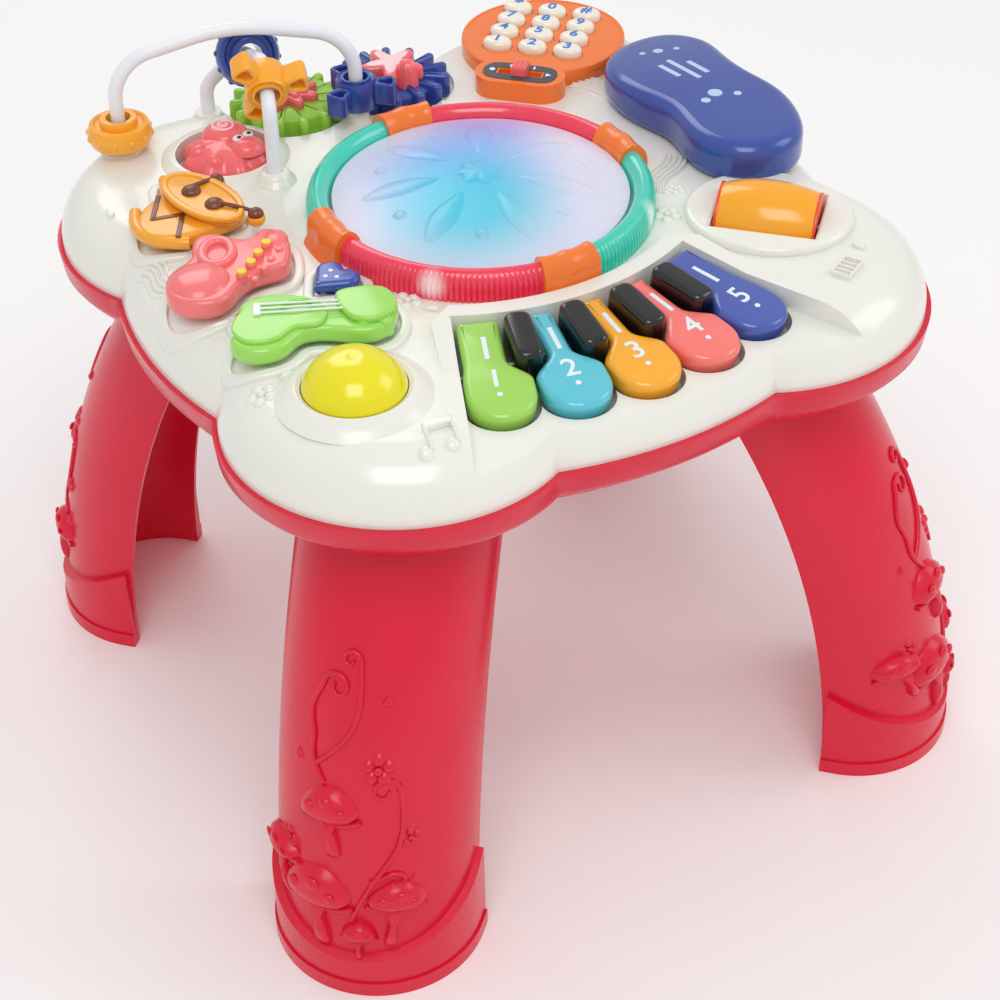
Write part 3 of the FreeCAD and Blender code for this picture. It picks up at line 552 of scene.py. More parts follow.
# Drum pad: a milky domed diaphragm that lamps below tint blue and violet. Moulded polypropylene with
# a soft relief of rays and drops; its colour is the light that comes through.
pad_radius = 68.6
pad_top_z = 292.0
pad_edge_z = 282.0
pad_rise = pad_top_z - pad_edge_z
pad_curve = (pad_radius ** 2 + pad_rise ** 2) / (2 * pad_rise)
# Milky polypropylene: pale lavender that the lamps tint sky blue in the middle and violet behind
pad_plastic = plastic("Milky polypropylene, lit from below", "DEDCEE", "D6D4E8", 0.3,
                      **{"Subsurface Weight": 0.1, "Subsurface Scale": 0.01})
pad_pools = (((24, 42, 289), 4, 44, "A898E0"), ((-6, 12, 289), 6, 62, "6EACEC"),
             ((-18, -20, 289), 8, 60, "2FC4DE"))
lit(pad_plastic, pad_pools, 0.04)
dress("drum_pad", pad_plastic)


def on_pad(mesh, lift=-0.15):
    """Lays a mesh drawn on z = 0 over the pad's dome."""
    for vertex in mesh.vertices:
        reach = math.hypot(vertex.co.x, vertex.co.y) / MM
        drop = pad_curve - math.sqrt(max(0.0, pad_curve ** 2 - reach ** 2))
        vertex.co.z += (pad_top_z - drop + lift) * MM
    return mesh


ray_count = 7
pad_relief = []
for petal in range(ray_count):
    leaf = smooth_loop([(16, 0), (26, -5), (40, -7.5), (54, -4), (58, 0), (54, 4), (40, 7.5), (26, 5)], 4)
    leaf_turn = petal * 360 / ray_count + 10
    drop_turn = petal * 360 / ray_count + 36
    pad_relief.append(moved(blob([(px - 38, py) for px, py in leaf], 1.8, 38, 0, rings=5),
                            turn=leaf_turn))
    pad_relief.append(moved(blob(ring_points(4.0, 16), 1.6, 47, 0, rings=3), turn=drop_turn))
pad_relief.append(blob(ring_points(12, 48, lobes=ray_count, depth=0.16), 1.8, 0, 0, rings=5))
piece("pad_relief", on_pad(joined(pad_relief)), pad_plastic, "drum")

# Keyboard: five coloured keys and four short dark ones, hinged on a steel rod at the rear. Each key
# is glossy ABS with a well rounded edge, a printed bar, numeral and dot.
fan_centre_y = 30.5
fan_step = 10.8
key_rear = 126.0
bulb_centre = 172.0
bulb_half = 15.0
key_slope = 7.5
key_rear_z = 276.5
key_thick = 10.0
neck_half = 5.2
outer_half = 13.5
neck_length = 25.0
shoulder_length = 13.0
pivot_y = -104.0
lug_foot_z = 259.5


def key_outline(left_half, right_half):
    """A key from above: a narrow neck, a curved shoulder and a round bulb; its rear end is at y = 0."""
    def side(half):
        shoulder = [(half, -0.8), (half, -14), (half, 1 - neck_length)]
        for step in range(1, 9):
            t = step / 8
            ease = t * t * (3 - 2 * t)
            shoulder.append((half + (bulb_half - half) * ease, -neck_length - shoulder_length * t))
        return shoulder
    line = [(right_half - 0.8, 0)] + side(right_half)
    middle = -(bulb_centre - key_rear)
    for step in range(0, 17):
        angle = -math.pi * step / 16
        line.append((bulb_half * math.cos(angle), middle + bulb_half * math.sin(angle)))
    return line + [(-x, y) for x, y in reversed(side(left_half))] + [(-left_half + 0.8, 0)]


def on_key(mesh, angle, radius=key_rear, z=key_rear_z):
    """Tilts a mesh to the keys' slope and carries it to its place in the fan."""
    mesh.transform(Matrix.Rotation(math.radians(key_slope), 4, "X"))
    turn = math.radians(angle)
    return moved(mesh, radius * math.sin(turn), fan_centre_y - radius * math.cos(turn), z, angle)


print_thick = 0.5
stroke_swell = 0.18


def lettering(text, size, thick=print_thick):
    """Rounded characters of that height in mm, as a thin raised print."""
    words = bpy.data.curves.new("figures", "FONT")
    words.body = text
    words.size = size * MM * 1.4
    words.align_x = "CENTER"
    words.align_y = "CENTER"
    words.extrude = thick / 2 * MM
    words.offset = stroke_swell * MM
    words.resolution_u = 4
    return from_curve(words)


# Pad print: a flat white ink that is duller than the plastic round it
white_print = plastic("White pad print, satin ink", "EAF4FA", "E2EEF6", 0.4)
keys = (("green", "A6DB5E", "9DD455"), ("cyan", "62CBDC", "58C2D5"),
        ("yellow_orange", "FDB32F", "FAA824"), ("coral", "FB7F78", "F7746D"),
        ("key_blue", "4B60B4", "4257AB"))
for number, (slot, colour, deep) in enumerate(keys, 1):
    body = "key_" + str(number)
    angle = (number - 3) * fan_step
    # Key ABS: saturated, with the sharpest highlights on the table
    key_abs = plastic("Key ABS, " + slot.replace("_", " "), colour, deep, 0.17, coat=0.3,
                      coat_roughness=0.06)
    outline = key_outline(outer_half if number == 1 else neck_half,
                          outer_half if number == 5 else neck_half)
    key = on_key(moved(slab([outline], key_thick, 3.0, 6), z=-key_thick), angle)
    piece("rounded_key_" + str(number), key, key_abs, body, ["piano_key_" + str(number)])
    shift = {1: -3.0, 5: 3.0}.get(number, 0.0)
    marks = [moved(slab([[(-1.1, -7), (1.1, -7), (1.1, 7), (-1.1, 7)]], print_thick, 0.2), shift, -18),
             moved(lettering(str(number), 10.5), shift * 0.5, -37.5),
             moved(slab([ring_points(1.3, 20)], print_thick, 0.2), shift * 0.3, -47.0)]
    piece("key_print_" + str(number), on_key(moved(joined(marks), z=-0.22), angle), white_print,
          body)
    lug = slab([[(-4.5, -4.5), (4.5, -4.5), (4.5, 4.5), (-4.5, 4.5)]], 8, 0.6)
    lug_x = (fan_centre_y - pivot_y) * math.tan(math.radians(angle))
    piece("key_lug_" + str(number), moved(lug, lug_x, pivot_y, lug_foot_z), key_abs, body)
# Black ABS: near black, read mostly by its highlights
black_abs = plastic("Black ABS, polished mould", "0B0B0E", "101014", 0.16, coat=0.4, coat_roughness=0.05)
dark_length = 29.5
dark_half = 6.1
dark_tall = 20
dark_rear = 129.0
dark_top_z = 282.0
corner = 4.4
dark = []
for step in (-1.5, -0.5, 0.5, 1.5):
    bar = []
    for cx, cy, start in ((dark_half - corner, -corner, 0), (corner - dark_half, -corner, 90),
                          (corner - dark_half, corner - dark_length, 180),
                          (dark_half - corner, corner - dark_length, 270)):
        for part in range(6):
            a = math.radians(start + 18 * part)
            bar.append((cx + corner * math.cos(a), cy + corner * math.sin(a)))
    dark.append(on_key(moved(slab([bar], dark_tall, 2.6, 6), z=-dark_tall), step * fan_step, dark_rear,
                       dark_top_z))
piece("dark_keys", joined(dark), black_abs, instead=["black_keys"])
# Zinc plate: a cool grey metal with a drawn, slightly cloudy shine
zinc_steel = plastic("Zinc-plated steel, drawn bar", "C9CCD0", "BDC1C6", 0.32, grain_mm=0.5, Metallic=1.0)
for node in ("key_pivot_rod", "roller_axle", "housing_screws"):
    dress(node, zinc_steel)

# Push buttons: a plain dome and four puffy figures on the left, each in a low white surround. The
# caps are glossy ABS in one colour, with painted details, and stand on stems that press switches.
cap_foot_z = 275.5


def len_round(loop):
    """A loop's length in mm."""
    return sum(math.dist(a, b) for a, b in zip(loop, loop[1:] + loop[:1]))


def cap_outline(node, foot=cap_foot_z):
    """The outline in mm of a node's level underside, read from the frame."""
    mesh = cad[node].data
    edges = {}
    for polygon in mesh.polygons:
        corners = [mesh.vertices[i].co for i in polygon.vertices]
        if all(abs(c.z / MM - foot) < 0.02 for c in corners):
            keys_here = [(round(c.x / MM, 2), round(c.y / MM, 2)) for c in corners]
            for a, b in zip(keys_here, keys_here[1:] + keys_here[:1]):
                edges[a, b] = 1
    following = {a: b for a, b in edges if (b, a) not in edges}
    loops = []
    while following:
        first, point = following.popitem()
        loop = [first]
        while point != first and point in following:
            loop.append(point)
            point = following.pop(point)
        loops.append(loop)
    return max(loops, key=len_round)


def grown(loop, by):
    """A closed outline moved outward by so many mm."""
    area = sum(a[0] * b[1] - a[1] * b[0] for a, b in zip(loop, loop[1:] + loop[:1]))
    side = 1 if area > 0 else -1
    line = []
    for before, point, after in zip(loop[-1:] + loop[:-1], loop, loop[1:] + loop[:1]):
        dx, dy = after[0] - before[0], after[1] - before[1]
        length = math.hypot(dx, dy) or 1.0
        line.append((point[0] + side * by * dy / length, point[1] - side * by * dx / length))
    return line


def surround(name, loop, width, height):
    """A low soft white bank round a cap's outline, laid on the casing."""
    bank = slab([grown(loop, width), list(reversed(grown(loop, 0.7)))], height + 1.2,
                min(width, height) * 0.48)
    piece(name, draped(bank, -1.0), ivory_abs)


def even_loop(loop, count=72):
    """The same outline with evenly spaced points."""
    total = len_round(loop)
    points = []
    walked = 0.0
    target = 0.0
    for a, b in zip(loop, loop[1:] + loop[:1]):
        length = math.dist(a, b)
        while target <= walked + length and len(points) < count:
            t = (target - walked) / length if length else 0.0
            points.append((a[0] + (b[0] - a[0]) * t, a[1] + (b[1] - a[1]) * t))
            target += total / count
        walked += length
    return points


# Yellow ABS: a lemon dome with one clean highlight
yellow_abs = plastic("Yellow ABS, polished mould", "F4E800", "EBDD00", 0.18, coat=0.3,
                     coat_roughness=0.06)
dress("dome_button", yellow_abs)
dome_x, dome_y = -117.0, -102.0


def turned(profile, steps=72, ruffle=None):
    """A (radius, z) profile in mm turned about the vertical axis; ruffle may reshape it at each angle."""
    shape = bmesh.new()
    rows = []
    for step in range(steps):
        angle = 2 * math.pi * step / steps
        row = []
        for r, z in profile:
            if ruffle:
                r, z = ruffle(angle, r, z)
            row.append(shape.verts.new((r * math.cos(angle) * MM, r * math.sin(angle) * MM, z * MM)))
        rows.append(row)
    for a, b in zip(rows, rows[1:] + rows[:1]):
        for i in range(len(profile) - 1):
            shape.faces.new((a[i], b[i], b[i + 1], a[i + 1]))
    mesh = bpy.data.meshes.new("turned")
    shape.to_mesh(mesh)
    shape.free()
    return mesh


bank = [(22.7, 274.0), (22.9, 277.2), (24.4, 278.3), (27.0, 277.6), (30.5, 274.6), (34.0, 272.2)]
piece("dome_surround", moved(turned(bank + [(22.7, 272.2), (22.7, 274.0)]), dome_x, dome_y), ivory_abs)

# Figure ABS: candy colours with a soft gloss
figure_abs = {}
for name, colour, deep in (("drum", "FBB034", "F5A62A"), ("saxophone", "FA7E7E", "F57474"),
                           ("guitar", "A3E265", "99DA5A"), ("heart", "3B56B0", "334DA6")):
    figure_abs[name] = plastic("Figure ABS, " + name, colour, deep, 0.2, coat=0.25, coat_roughness=0.08)
heights = {"drum": 7.5, "saxophone": 9.5, "guitar": 8.4, "heart": 5.4}
stems = {"drum": (-122, 60), "saxophone": (-128, 2), "guitar": (-116, -47), "heart": (-90, -27)}
stem_foot_z = 262
for name, high in heights.items():
    small = name == "heart"
    stem_radius = 3.3 if small else 5.8
    loop = even_loop(cap_outline(name + "_button"), 110)
    surround(name + "_surround", loop, 5.5, 2.4)
    cap = moved(slab([loop], high, 2.6, 5), z=cap_foot_z)
    stem = turned([(0.01, stem_foot_z), (stem_radius, stem_foot_z), (stem_radius, 276), (0.01, 276)], 24)
    stem = moved(stem, *stems[name])
    body = name if small else name + "_figure"
    piece(name + "_cap", joined([cap, stem]), figure_abs[name], body, [name + "_button"])

# The drum figure: a barrel with a rolled foot, a raised oval head, two sticks and painted cord
head_centre = (-115.0, 54.0)
head = [moved(slab([ring_points(25, 48, squeeze=0.46)], 4.6, 1.6), *head_centre, 282.4, -78)]
hoop = slab([ring_points(26.5, 48, squeeze=0.52), ring_points(23.4, 48, squeeze=0.42)[::-1]], 3.0, 1.2)
head.append(moved(hoop, *head_centre, 285.0, -78))
foot_line = [(-143, 68, 279.5), (-148.0, 58, 279.5), (-149.0, 47, 279.5), (-143, 37, 279.5),
             (-132, 31, 279.5)]
head.append(tube(foot_line, 3.0))
for x, y in ((-103, 66), (-100, 29)):
    head.append(ball(x, y, 283.2, 4.3, 0.85))
piece("drum_head", joined(head), figure_abs["drum"], "drum_figure")
# Brown paint: a chocolate coat that is a little duller than the caps
brown_paint = plastic("Brown paint, satin", "7C3F26", "703720", 0.32, coat=0.2)
painted = [ball(-118, 60, 287.2, 4.6, 0.62), ball(-113.5, 44, 287.2, 4.6, 0.62),
           ball(-103, 66, 285.6, 3.7, 0.85), ball(-100, 29, 285.6, 3.7, 0.85)]
painted.append(tube([(-116, 62, 288.6), (-110, 64, 288.2), (-104, 66, 286.8)], 1.0))
painted.append(tube([(-112, 42, 288.6), (-106, 36, 288.2), (-100.5, 30, 286.8)], 1.0))
cord = [(-130, 71), (-140.5, 53), (-127, 50), (-136, 34)]
for (x0, y0), (x1, y1) in zip(cord[:-1], cord[1:]):
    length = math.dist((x0, y0), (x1, y1))
    stroke = slab([[(0, -1.2), (length + 1, -1.2), (length + 1, 1.2), (0, 1.2)]], 0.8, 0.3)
    painted.append(moved(stroke, x0, y0, cap_foot_z + 7.2, math.degrees(math.atan2(y1 - y0, x1 - x0))))
piece("drum_paint", joined(painted), brown_paint, "drum_figure")

# The saxophone figure: an open oval bell, a round belly and four keys with yellow studs
mouth = slab([ring_points(12.5, 40, squeeze=0.72), ring_points(7.6, 40, squeeze=0.55)[::-1]], 4.6, 2.0)
bell = [moved(mouth, -128.5, 8, cap_foot_z + 7.6, 62)]
bell.append(moved(blob(ring_points(14.5, 40, squeeze=0.92), 4.4, rings=7), -144, -8, cap_foot_z + 9.2,
                  30))
studs = []
for x, y in ((-127, -15), (-120, -9.5), (-114, -4), (-107.5, 1.5)):
    bell.append(moved(slab([ring_points(2.9, 20, squeeze=0.8)], 5.6, 1.0), x, y, cap_foot_z + 6.6, 40))
    bell.append(moved(slab([ring_points(2.1, 16, squeeze=0.8)], 4.0, 0.9), x + 4.2, y - 4.4, cap_foot_z
                      + 6.6, 40))
    studs.append(moved(slab([ring_points(2.3, 16)], 1.2, 0.5), x, y, cap_foot_z + 11.9))
bell.append(moved(blob(ring_points(8.0, 28, squeeze=0.7), 2.6, rings=6), -101, 6, cap_foot_z + 9.2, 60))
piece("saxophone_bell", joined(bell), figure_abs["saxophone"], "saxophone_figure")
# Yellow paint: warm and even on the small studs
stud_paint = plastic("Yellow paint, satin", "FFD21E", "F9C80F", 0.3)
piece("saxophone_studs", joined(studs), stud_paint, "saxophone_figure")

# The guitar figure: a raised body edge, a sunken sound hole, a lobed peg head and white strings
body_loop = smooth_loop([(-148, -50), (-138, -39), (-127, -34), (-117, -38), (-108, -47), (-107, -58),
                         (-114, -65), (-124, -62), (-135, -66), (-146, -62)], 6)
hole = ring_points(6.8, 32, -117, -49, 0.72)
parts = [moved(slab([body_loop, hole[::-1]], 2.6, 1.1), z=cap_foot_z + 7.9)]
peg_head = smooth_loop([(-99, -49), (-86, -50), (-78, -57), (-80, -70), (-91, -75), (-101, -68)], 6)
parts.append(moved(slab([peg_head], 3.4, 1.4), z=cap_foot_z + 8.2))
for x, y in ((-96, -70), (-88, -74.5), (-84, -50)):
    parts.append(moved(slab([ring_points(3.4, 20)], 8.5, 1.4), x, y, cap_foot_z + 1.0))
piece("guitar_body", joined(parts), figure_abs["guitar"], "guitar_figure")
# White paint: a plain satin white
string_paint = plastic("White paint, satin", "F3F6F4", "EAEFEC", 0.4)
strings = [moved(slab([[(-1.6, -4.4), (1.6, -4.4), (1.6, 4.4), (-1.6, 4.4)]], 1.2, 0.4), -133, -43.5,
                 cap_foot_z + 10.4, -24)]
for offset in (-3.0, 0.0, 3.0):
    strings.append(tube([(-132 + offset * 0.4, -43.5 + offset, 286.6),
                         (-117 + offset * 0.4, -50.3 + offset, 286.6),
                         (-97.5 + offset * 0.4, -59.0 + offset * 0.9, 286.4)], 0.55))
piece("guitar_strings", joined(strings), string_paint, "guitar_figure")

# The heart button carries three plain dots
dots = []
for x, y in ((-93, -27), (-89, -24), (-89, -30)):
    dots.append(moved(slab([ring_points(1.1, 16)], 0.5, 0.2), x, y, cap_foot_z + 5.2))
piece("heart_dots", joined(dots), white_print, "heart")

# Roller: an amber barrel on a steel axle in an oval dish, with a turned red line at each end. The
# barrel is tinted ABS, and the dish rises out of the casing with a soft lip.
roller_x, roller_y, roller_turn = 109.0, -75.0, -45.0
roller_axis_z = 270.0
# Amber ABS: a warm yellow orange with a long highlight along the barrel
amber_abs = plastic("Amber ABS, polished mould", "FFB01C", "FBA512", 0.2, coat=0.3, coat_roughness=0.07)
dress("roller", amber_abs)
slot_long = 23.6
slot_wide = 19.8
opening = [(-slot_long, -slot_wide), (slot_long, -slot_wide), (slot_long, slot_wide),
           (-slot_long, slot_wide)]
dish_outer = ring_points(39, 72, squeeze=0.9)
dish = slab([dish_outer, opening], 5.6, 2.6, 6)
piece("roller_dish", draped(moved(dish, roller_x, roller_y, 0, roller_turn), -1.4), ivory_abs)
# Orange red ABS: it shows only as a thin line at each end of the barrel
red_line = plastic("Orange red ABS, moulded end disc", "F2542A", "EA4A22", 0.25)
ends = []
for end in (-1, 1):
    disc = turned([(3, 0), (16.2, 0), (16.4, 0.6), (16.2, 1.2), (3, 1.2), (3, 0)], 48)
    disc.transform(Matrix.Rotation(math.radians(90), 4, "Y"))
    ends.append(moved(disc, end * 22.6 - 0.6))
piece("roller_ends", moved(joined(ends), roller_x, roller_y, roller_axis_z, roller_turn), red_line,
      "roller")

# Gears: a blue sunburst with a coral star crank and a green gear with a coral flower cap. Both are
# glossy ABS; the blue one's rounded ribs push the green one's round.
gear_teeth = 14
blue_at = (20.0, 127.0)
green_at = (-34.0, 135.0)
pitch_radius = math.dist(blue_at, green_at) / 2
line_angle = math.degrees(math.atan2(green_at[1] - blue_at[1], green_at[0] - blue_at[0]))
tooth_tip = pitch_radius + 0.55 * 2 * pitch_radius / gear_teeth
gear_foot_z = 268.5


def rounded_gear(phase, rib_half, crown, root_share):
    """A hub disc with round-ended ribs that swell upward to the crown."""
    root = tooth_tip * root_share
    forms = [turned([(0.01, 0), (root, 0), (root + 0.6, 2), (root, 8.6), (root - 1.4, 9.8), (0.01, 9.8)],
                    60)]
    for tooth in range(gear_teeth):
        reach = tooth_tip - rib_half
        start = tooth_tip * 0.34
        rib = []
        for step in range(9):
            a = -math.pi / 2 + math.pi * step / 8
            rib.append((reach + rib_half * math.cos(a), rib_half * math.sin(a)))
        rib += [(start, rib_half * 0.45), (start, -rib_half * 0.45)]
        forms.append(moved(slab([rib], crown, rib_half * 0.8, 5), turn=phase + 360 * tooth / gear_teeth))
    return joined(forms)


# Blue, leaf green and coral ABS: strong toy colours, all from polished moulds
blue_abs = plastic("Blue ABS, polished mould", "3450A6", "2D479B", 0.2, coat=0.3, coat_roughness=0.07)
green_abs = plastic("Leaf green ABS, polished mould", "A8E04A", "9DD640", 0.22, coat=0.25,
                    coat_roughness=0.08)
coral_abs = plastic("Coral ABS, polished mould", "FB7377", "F5696D", 0.21, coat=0.25, coat_roughness=0.08)
rib_half = 2.45
sunburst = moved(rounded_gear(line_angle, rib_half, 12.4, 0.78), *blue_at, gear_foot_z)
piece("sunburst_gear", sunburst, blue_abs, "blue_gear", ["blue_gear"])
lobed = moved(rounded_gear(line_angle + 180 / gear_teeth, rib_half, 10.4, 0.82), *green_at, gear_foot_z)
piece("lobed_gear", lobed, green_abs, "green_gear", ["green_gear"])


def pointed_loop(count, outer, inner, soft=0.5, start=0.0):
    """A star outline with rounded points and hollows."""
    line = []
    for step in range(count * 12):
        angle = 2 * math.pi * step / (count * 12)
        wave = 0.5 + 0.5 * math.cos(count * angle)
        line.append((inner + (outer - inner) * wave ** soft, angle + start))
    return [(r * math.cos(a), r * math.sin(a)) for r, a in line]


star_z = gear_foot_z + 10.0
star = [moved(slab([pointed_loop(5, 17.0, 8.0, 1.1, 1.7)], 8.8, 2.6, 6), *blue_at, star_z)]
knob = turned([(0.01, 0), (5.6, 0), (5.2, 4), (4.7, 9), (3.6, 12.4), (1.6, 13.6), (0.01, 13.9)], 40,
              lambda a, r, z: (r * (1 + 0.05 * math.cos(8 * a)), z))
star.append(moved(knob, blue_at[0] + 3, blue_at[1] - 12, star_z))
piece("star_handle", joined(star), coral_abs, "blue_gear", ["star_crank"])
# Pale pink ink: flat and chalky against the coral
pale_print = plastic("Pale pink print, satin ink", "FBD6D8", "F7CDCF", 0.4)
star_ink = slab([pointed_loop(5, 13.0, 5.4, 1.1, 1.7)], 0.4, 0.15)
piece("star_print", moved(star_ink, *blue_at, star_z + 8.5), pale_print, "blue_gear")
petals = [slab([pointed_loop(8, 16.0, 9.0, 0.8)], 5.4, 1.8),
          moved(slab([pointed_loop(8, 11.0, 6.4, 0.8)], 3.4, 1.4), z=3.6)]
petals.append(ball(0, 0, 6.4, 3.6, 0.5))
piece("flower_top", moved(joined(petals), *green_at, gear_foot_z + 8.8), coral_abs, "green_gear",
      ["flower_cap"])

# Snail dial: a coral dome with ruffled skirts that turns in a round well. The printed spiral and the
# two eyes stand on a shell and a head moulded with it.
snail_at = (-82.0, 105.0)


def ruffle(angle, r, z):
    """Eight soft lobes round the skirt that fade towards the crown."""
    share = max(0.0, min(1.0, (r - 9) / 12))
    lobe = math.cos(8 * angle + 0.4)
    return r * (1 + 0.06 * lobe * share - 0.06 * share), z + 1.3 * lobe * share


skirt = turned([(0.01, 266.4), (21.6, 266.4), (22.4, 269), (21.8, 272.4), (19.2, 275.6), (15.4, 278.2),
                (10.5, 280.4), (5, 281.4), (0.01, 281.6)], 112, ruffle)
shell_x, shell_y = 4.5, 9.5
shell_radius = 11.5
shell_high = 5.6
shell_foot_z = 279.4
shell = moved(blob(ring_points(shell_radius, 48, squeeze=0.94), shell_high, rings=9), shell_x, shell_y,
              shell_foot_z)
snail_head = moved(blob(ring_points(9.0, 40, squeeze=0.9), 5.6, rings=8), 8.5, -8.0, 278.6)
tail = [moved(blob(ring_points(5.4, 28, squeeze=0.8), 5.2, rings=6), -12.5, 1.5, 276.8),
        moved(blob(ring_points(4.6, 28), 4.6, rings=6), -9.5, -9.5, 276.8)]
snail = joined([skirt, shell, snail_head] + tail)
piece("ruffled_snail", moved(snail, *snail_at), coral_abs, "snail", ["snail_dial"])
turns = []
for step in range(29):
    a = 0.6 + 4.0 * math.pi * step / 28
    reach = 6.2 * (1 - step / 30) + 0.6
    away = reach / shell_radius
    rise = shell_foot_z + shell_high * math.sqrt(1 - away ** 2.4) - 0.2
    turns.append((shell_x + reach * math.cos(a), shell_y + reach * math.sin(a), rise))
piece("snail_spiral", moved(tube(turns, 0.62), *snail_at), pale_print, "snail")
eye_places = ((5.6, -4.2), (11.4, -2.6))
eyes = [ball(x, y, 283.0, 2.7, 0.62) for x, y in eye_places]
piece("snail_eyes", moved(joined(eyes), *snail_at), string_paint, "snail")
pupils = [ball(x + 0.2, y - 0.9, 284.3, 1.2, 0.5) for x, y in eye_places]
piece("snail_pupils", moved(joined(pupils), *snail_at), black_abs, "snail")
rim_bank = [(24.1, 272.5), (24.2, 275.4), (25.2, 276.4), (27.2, 276.0), (29.8, 274.0), (32.0, 272.3),
            (24.1, 272.3), (24.1, 272.5)]
piece("snail_well_rim", moved(turned(rim_bank), *snail_at), ivory_abs)

# Telephone: an orange keypad disc with cream pebble buttons and a small orange switch pod, beside a
# blue handset that lifts off. All glossy ABS, with printed figures.
keypad_at = (106.0, 122.0)
keypad_turn = -45
dress("keypad_housing", orange_abs)
dress("switch_housing", orange_abs)
keypad_rim = turned([(40.0, 280.6), (40.4, 281.3), (41.3, 281.3), (42.2, 280.2), (42.4, 278.0),
                     (42.0, 276.0), (40.0, 276.0), (40.0, 280.6)], 96)
piece("keypad_rim", moved(keypad_rim, *keypad_at), orange_abs)
# Cream ABS: a little warmer than the casing, with small soft highlights
cream_abs = plastic("Cream ABS, polished mould", "F6F1E2", "F1EBDA", 0.24, coat=0.2)
# Blue ink: flat, crisp figures
blue_print = plastic("Blue print, satin ink", "3C7FD6", "3475CC", 0.35)
figures = "123456789*0#"
for number, figure in enumerate(figures):
    low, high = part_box("keypad_button_" + str(number + 1))
    x, y = (low.x + high.x) / 2 / MM, (low.y + high.y) / 2 / MM
    pebble = slab([ring_points(7.5, 36, squeeze=0.76)], 8.0, 2.9, 6)
    body = "digit_" + str(number + 1)
    piece("pebble_button_" + str(number + 1), moved(pebble, x, y, low.z / MM, keypad_turn), cream_abs,
          body, ["keypad_button_" + str(number + 1)])
    print_mesh = moved(lettering(figure, 8.0 if figure == "*" else 6.4, 0.4), x, y, high.z / MM,
                       keypad_turn)
    piece("pebble_print_" + str(number + 1), print_mesh, blue_print, body)
switch_at = (73.0, 89.0)
# Grey vinyl: a dull label that takes almost no highlight
label_grey = plastic("Grey label, satin vinyl", "4A4C55", "43454E", 0.45)
panel = slab([smooth_loop([(-19, 0), (-15, 7.6), (0, 8.6), (15, 7.6), (19, 0), (15, -7.6), (0, -8.6),
                           (-15, -7.6)], 5), [(-12, -3.2), (-12, 3.2), (12, 3.2), (12, -3.2)]], 0.7, 0.25)
piece("switch_label", moved(panel, *switch_at, 282.7, keypad_turn), label_grey)
icons = [moved(slab([ring_points(1.5, 16)], 0.4, 0.15), -14.4, 0),
         moved(slab([[(-1.2, -1.6), (1.6, 0), (-1.2, 1.6)]], 0.4, 0.15), 14.4, 0)]
for dx in (-6, 0, 6):
    icons.append(moved(slab([[(-0.5, -1.4), (0.5, -1.4), (0.5, 1.4), (-0.5, 1.4)]], 0.4, 0.15), dx, 5.6))
piece("switch_icons", moved(joined(icons), *switch_at, 283.2, keypad_turn), white_print)
dress("switch_slider", coral_abs)
grip = [moved(tube([(-4.4, dx, 0), (4.4, dx, 0)], 0.7), *switch_at, 287.5, 45) for dx in (-2.2, 0, 2.2)]
piece("slider_grip", joined(grip), coral_abs, "switch")
dress("handset_base", blue_abs)
low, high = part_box("handset_cover")
cover_loop = even_loop(cap_outline("handset_cover", low.z / MM), 180)
cover_high = (high.z - low.z) / MM
cover_edge = 7.5
sag_start = 5.0
sag_length = 79.0
sag_depth = 6.5


def sagged(mesh, foot=None, high=1.0):
    """Lets the back end slope down to the casing's edge; above a foot in metres it grows with height."""
    for vertex in mesh.vertices:
        back = max(0.0, vertex.co.y / MM - sag_start) / sag_length
        share = 1.0 if foot is None else max(0.0, (vertex.co.z - foot) / high)
        vertex.co.z -= sag_depth * back * back * share * MM
    return mesh


cover = moved(slab([cover_loop], cover_high + cover_edge, cover_edge, 8), z=low.z / MM - cover_edge)
sagged(cover, low.z, high.z - low.z)
piece("rounded_handset_cover", cover, blue_abs, "handset", ["handset_cover"])
# Pale blue ink: flat dots and bars on the handset
handset_print = plastic("Pale blue print, satin ink", "BFD6F2", "B5CEEE", 0.38)
marks = []
for x, y, long in ((134, 34, 26), (127, 36, 16), (141, 32, 16)):
    bar = slab([[(-1.4, -long / 2), (1.4, -long / 2), (1.4, long / 2), (-1.4, long / 2)]], 0.5, 0.2)
    marks.append(moved(bar, x, y, 0, 4))
for x, y, radius in ((132, 4, 3.6), (141, -2, 2.0), (124, 0, 2.4), (136, 60, 2.6), (128, 62, 1.6),
                     (145, 57, 1.6)):
    marks.append(moved(slab([ring_points(radius, 24)], 0.5, 0.2), x, y))
piece("handset_marks", sagged(moved(joined(marks), z=293.75)), handset_print, "handset")

# Bead wires: two bent steel wires sheathed in white polyethylene that spring from collars on the
# casing. The beads are glossy ABS and slide on them.
# Polyethylene sheath: a milky white with a waxy sheen
white_sheath = plastic("White polyethylene sheath, extruded", "F3F5FA", "ECEFF6", 0.3,
                       **{"Subsurface Weight": 0.1, "Subsurface Scale": 0.003})
dress("maze_wire_long", white_sheath)
dress("maze_wire_cross", white_sheath)
collar_high = 5.5
for number, (x, y) in enumerate(((-122.0, 138.0), (-71.0, 72.0), (-71.0, 150.0), (-10.0, 106.0))):
    foot = casing_z(x + 9.5, y)
    collar = turned([(3.6, 0), (10.4, 0), (9.6, 1.6), (8.2, 2.6), (7.4, 4.4), (6.6, collar_high),
                     (5.2, collar_high + 0.6), (3.6, collar_high + 0.3), (3.6, 0)], 48)
    piece("wire_collar_" + str(number + 1), moved(collar, x, y, foot - 0.6), ivory_abs)
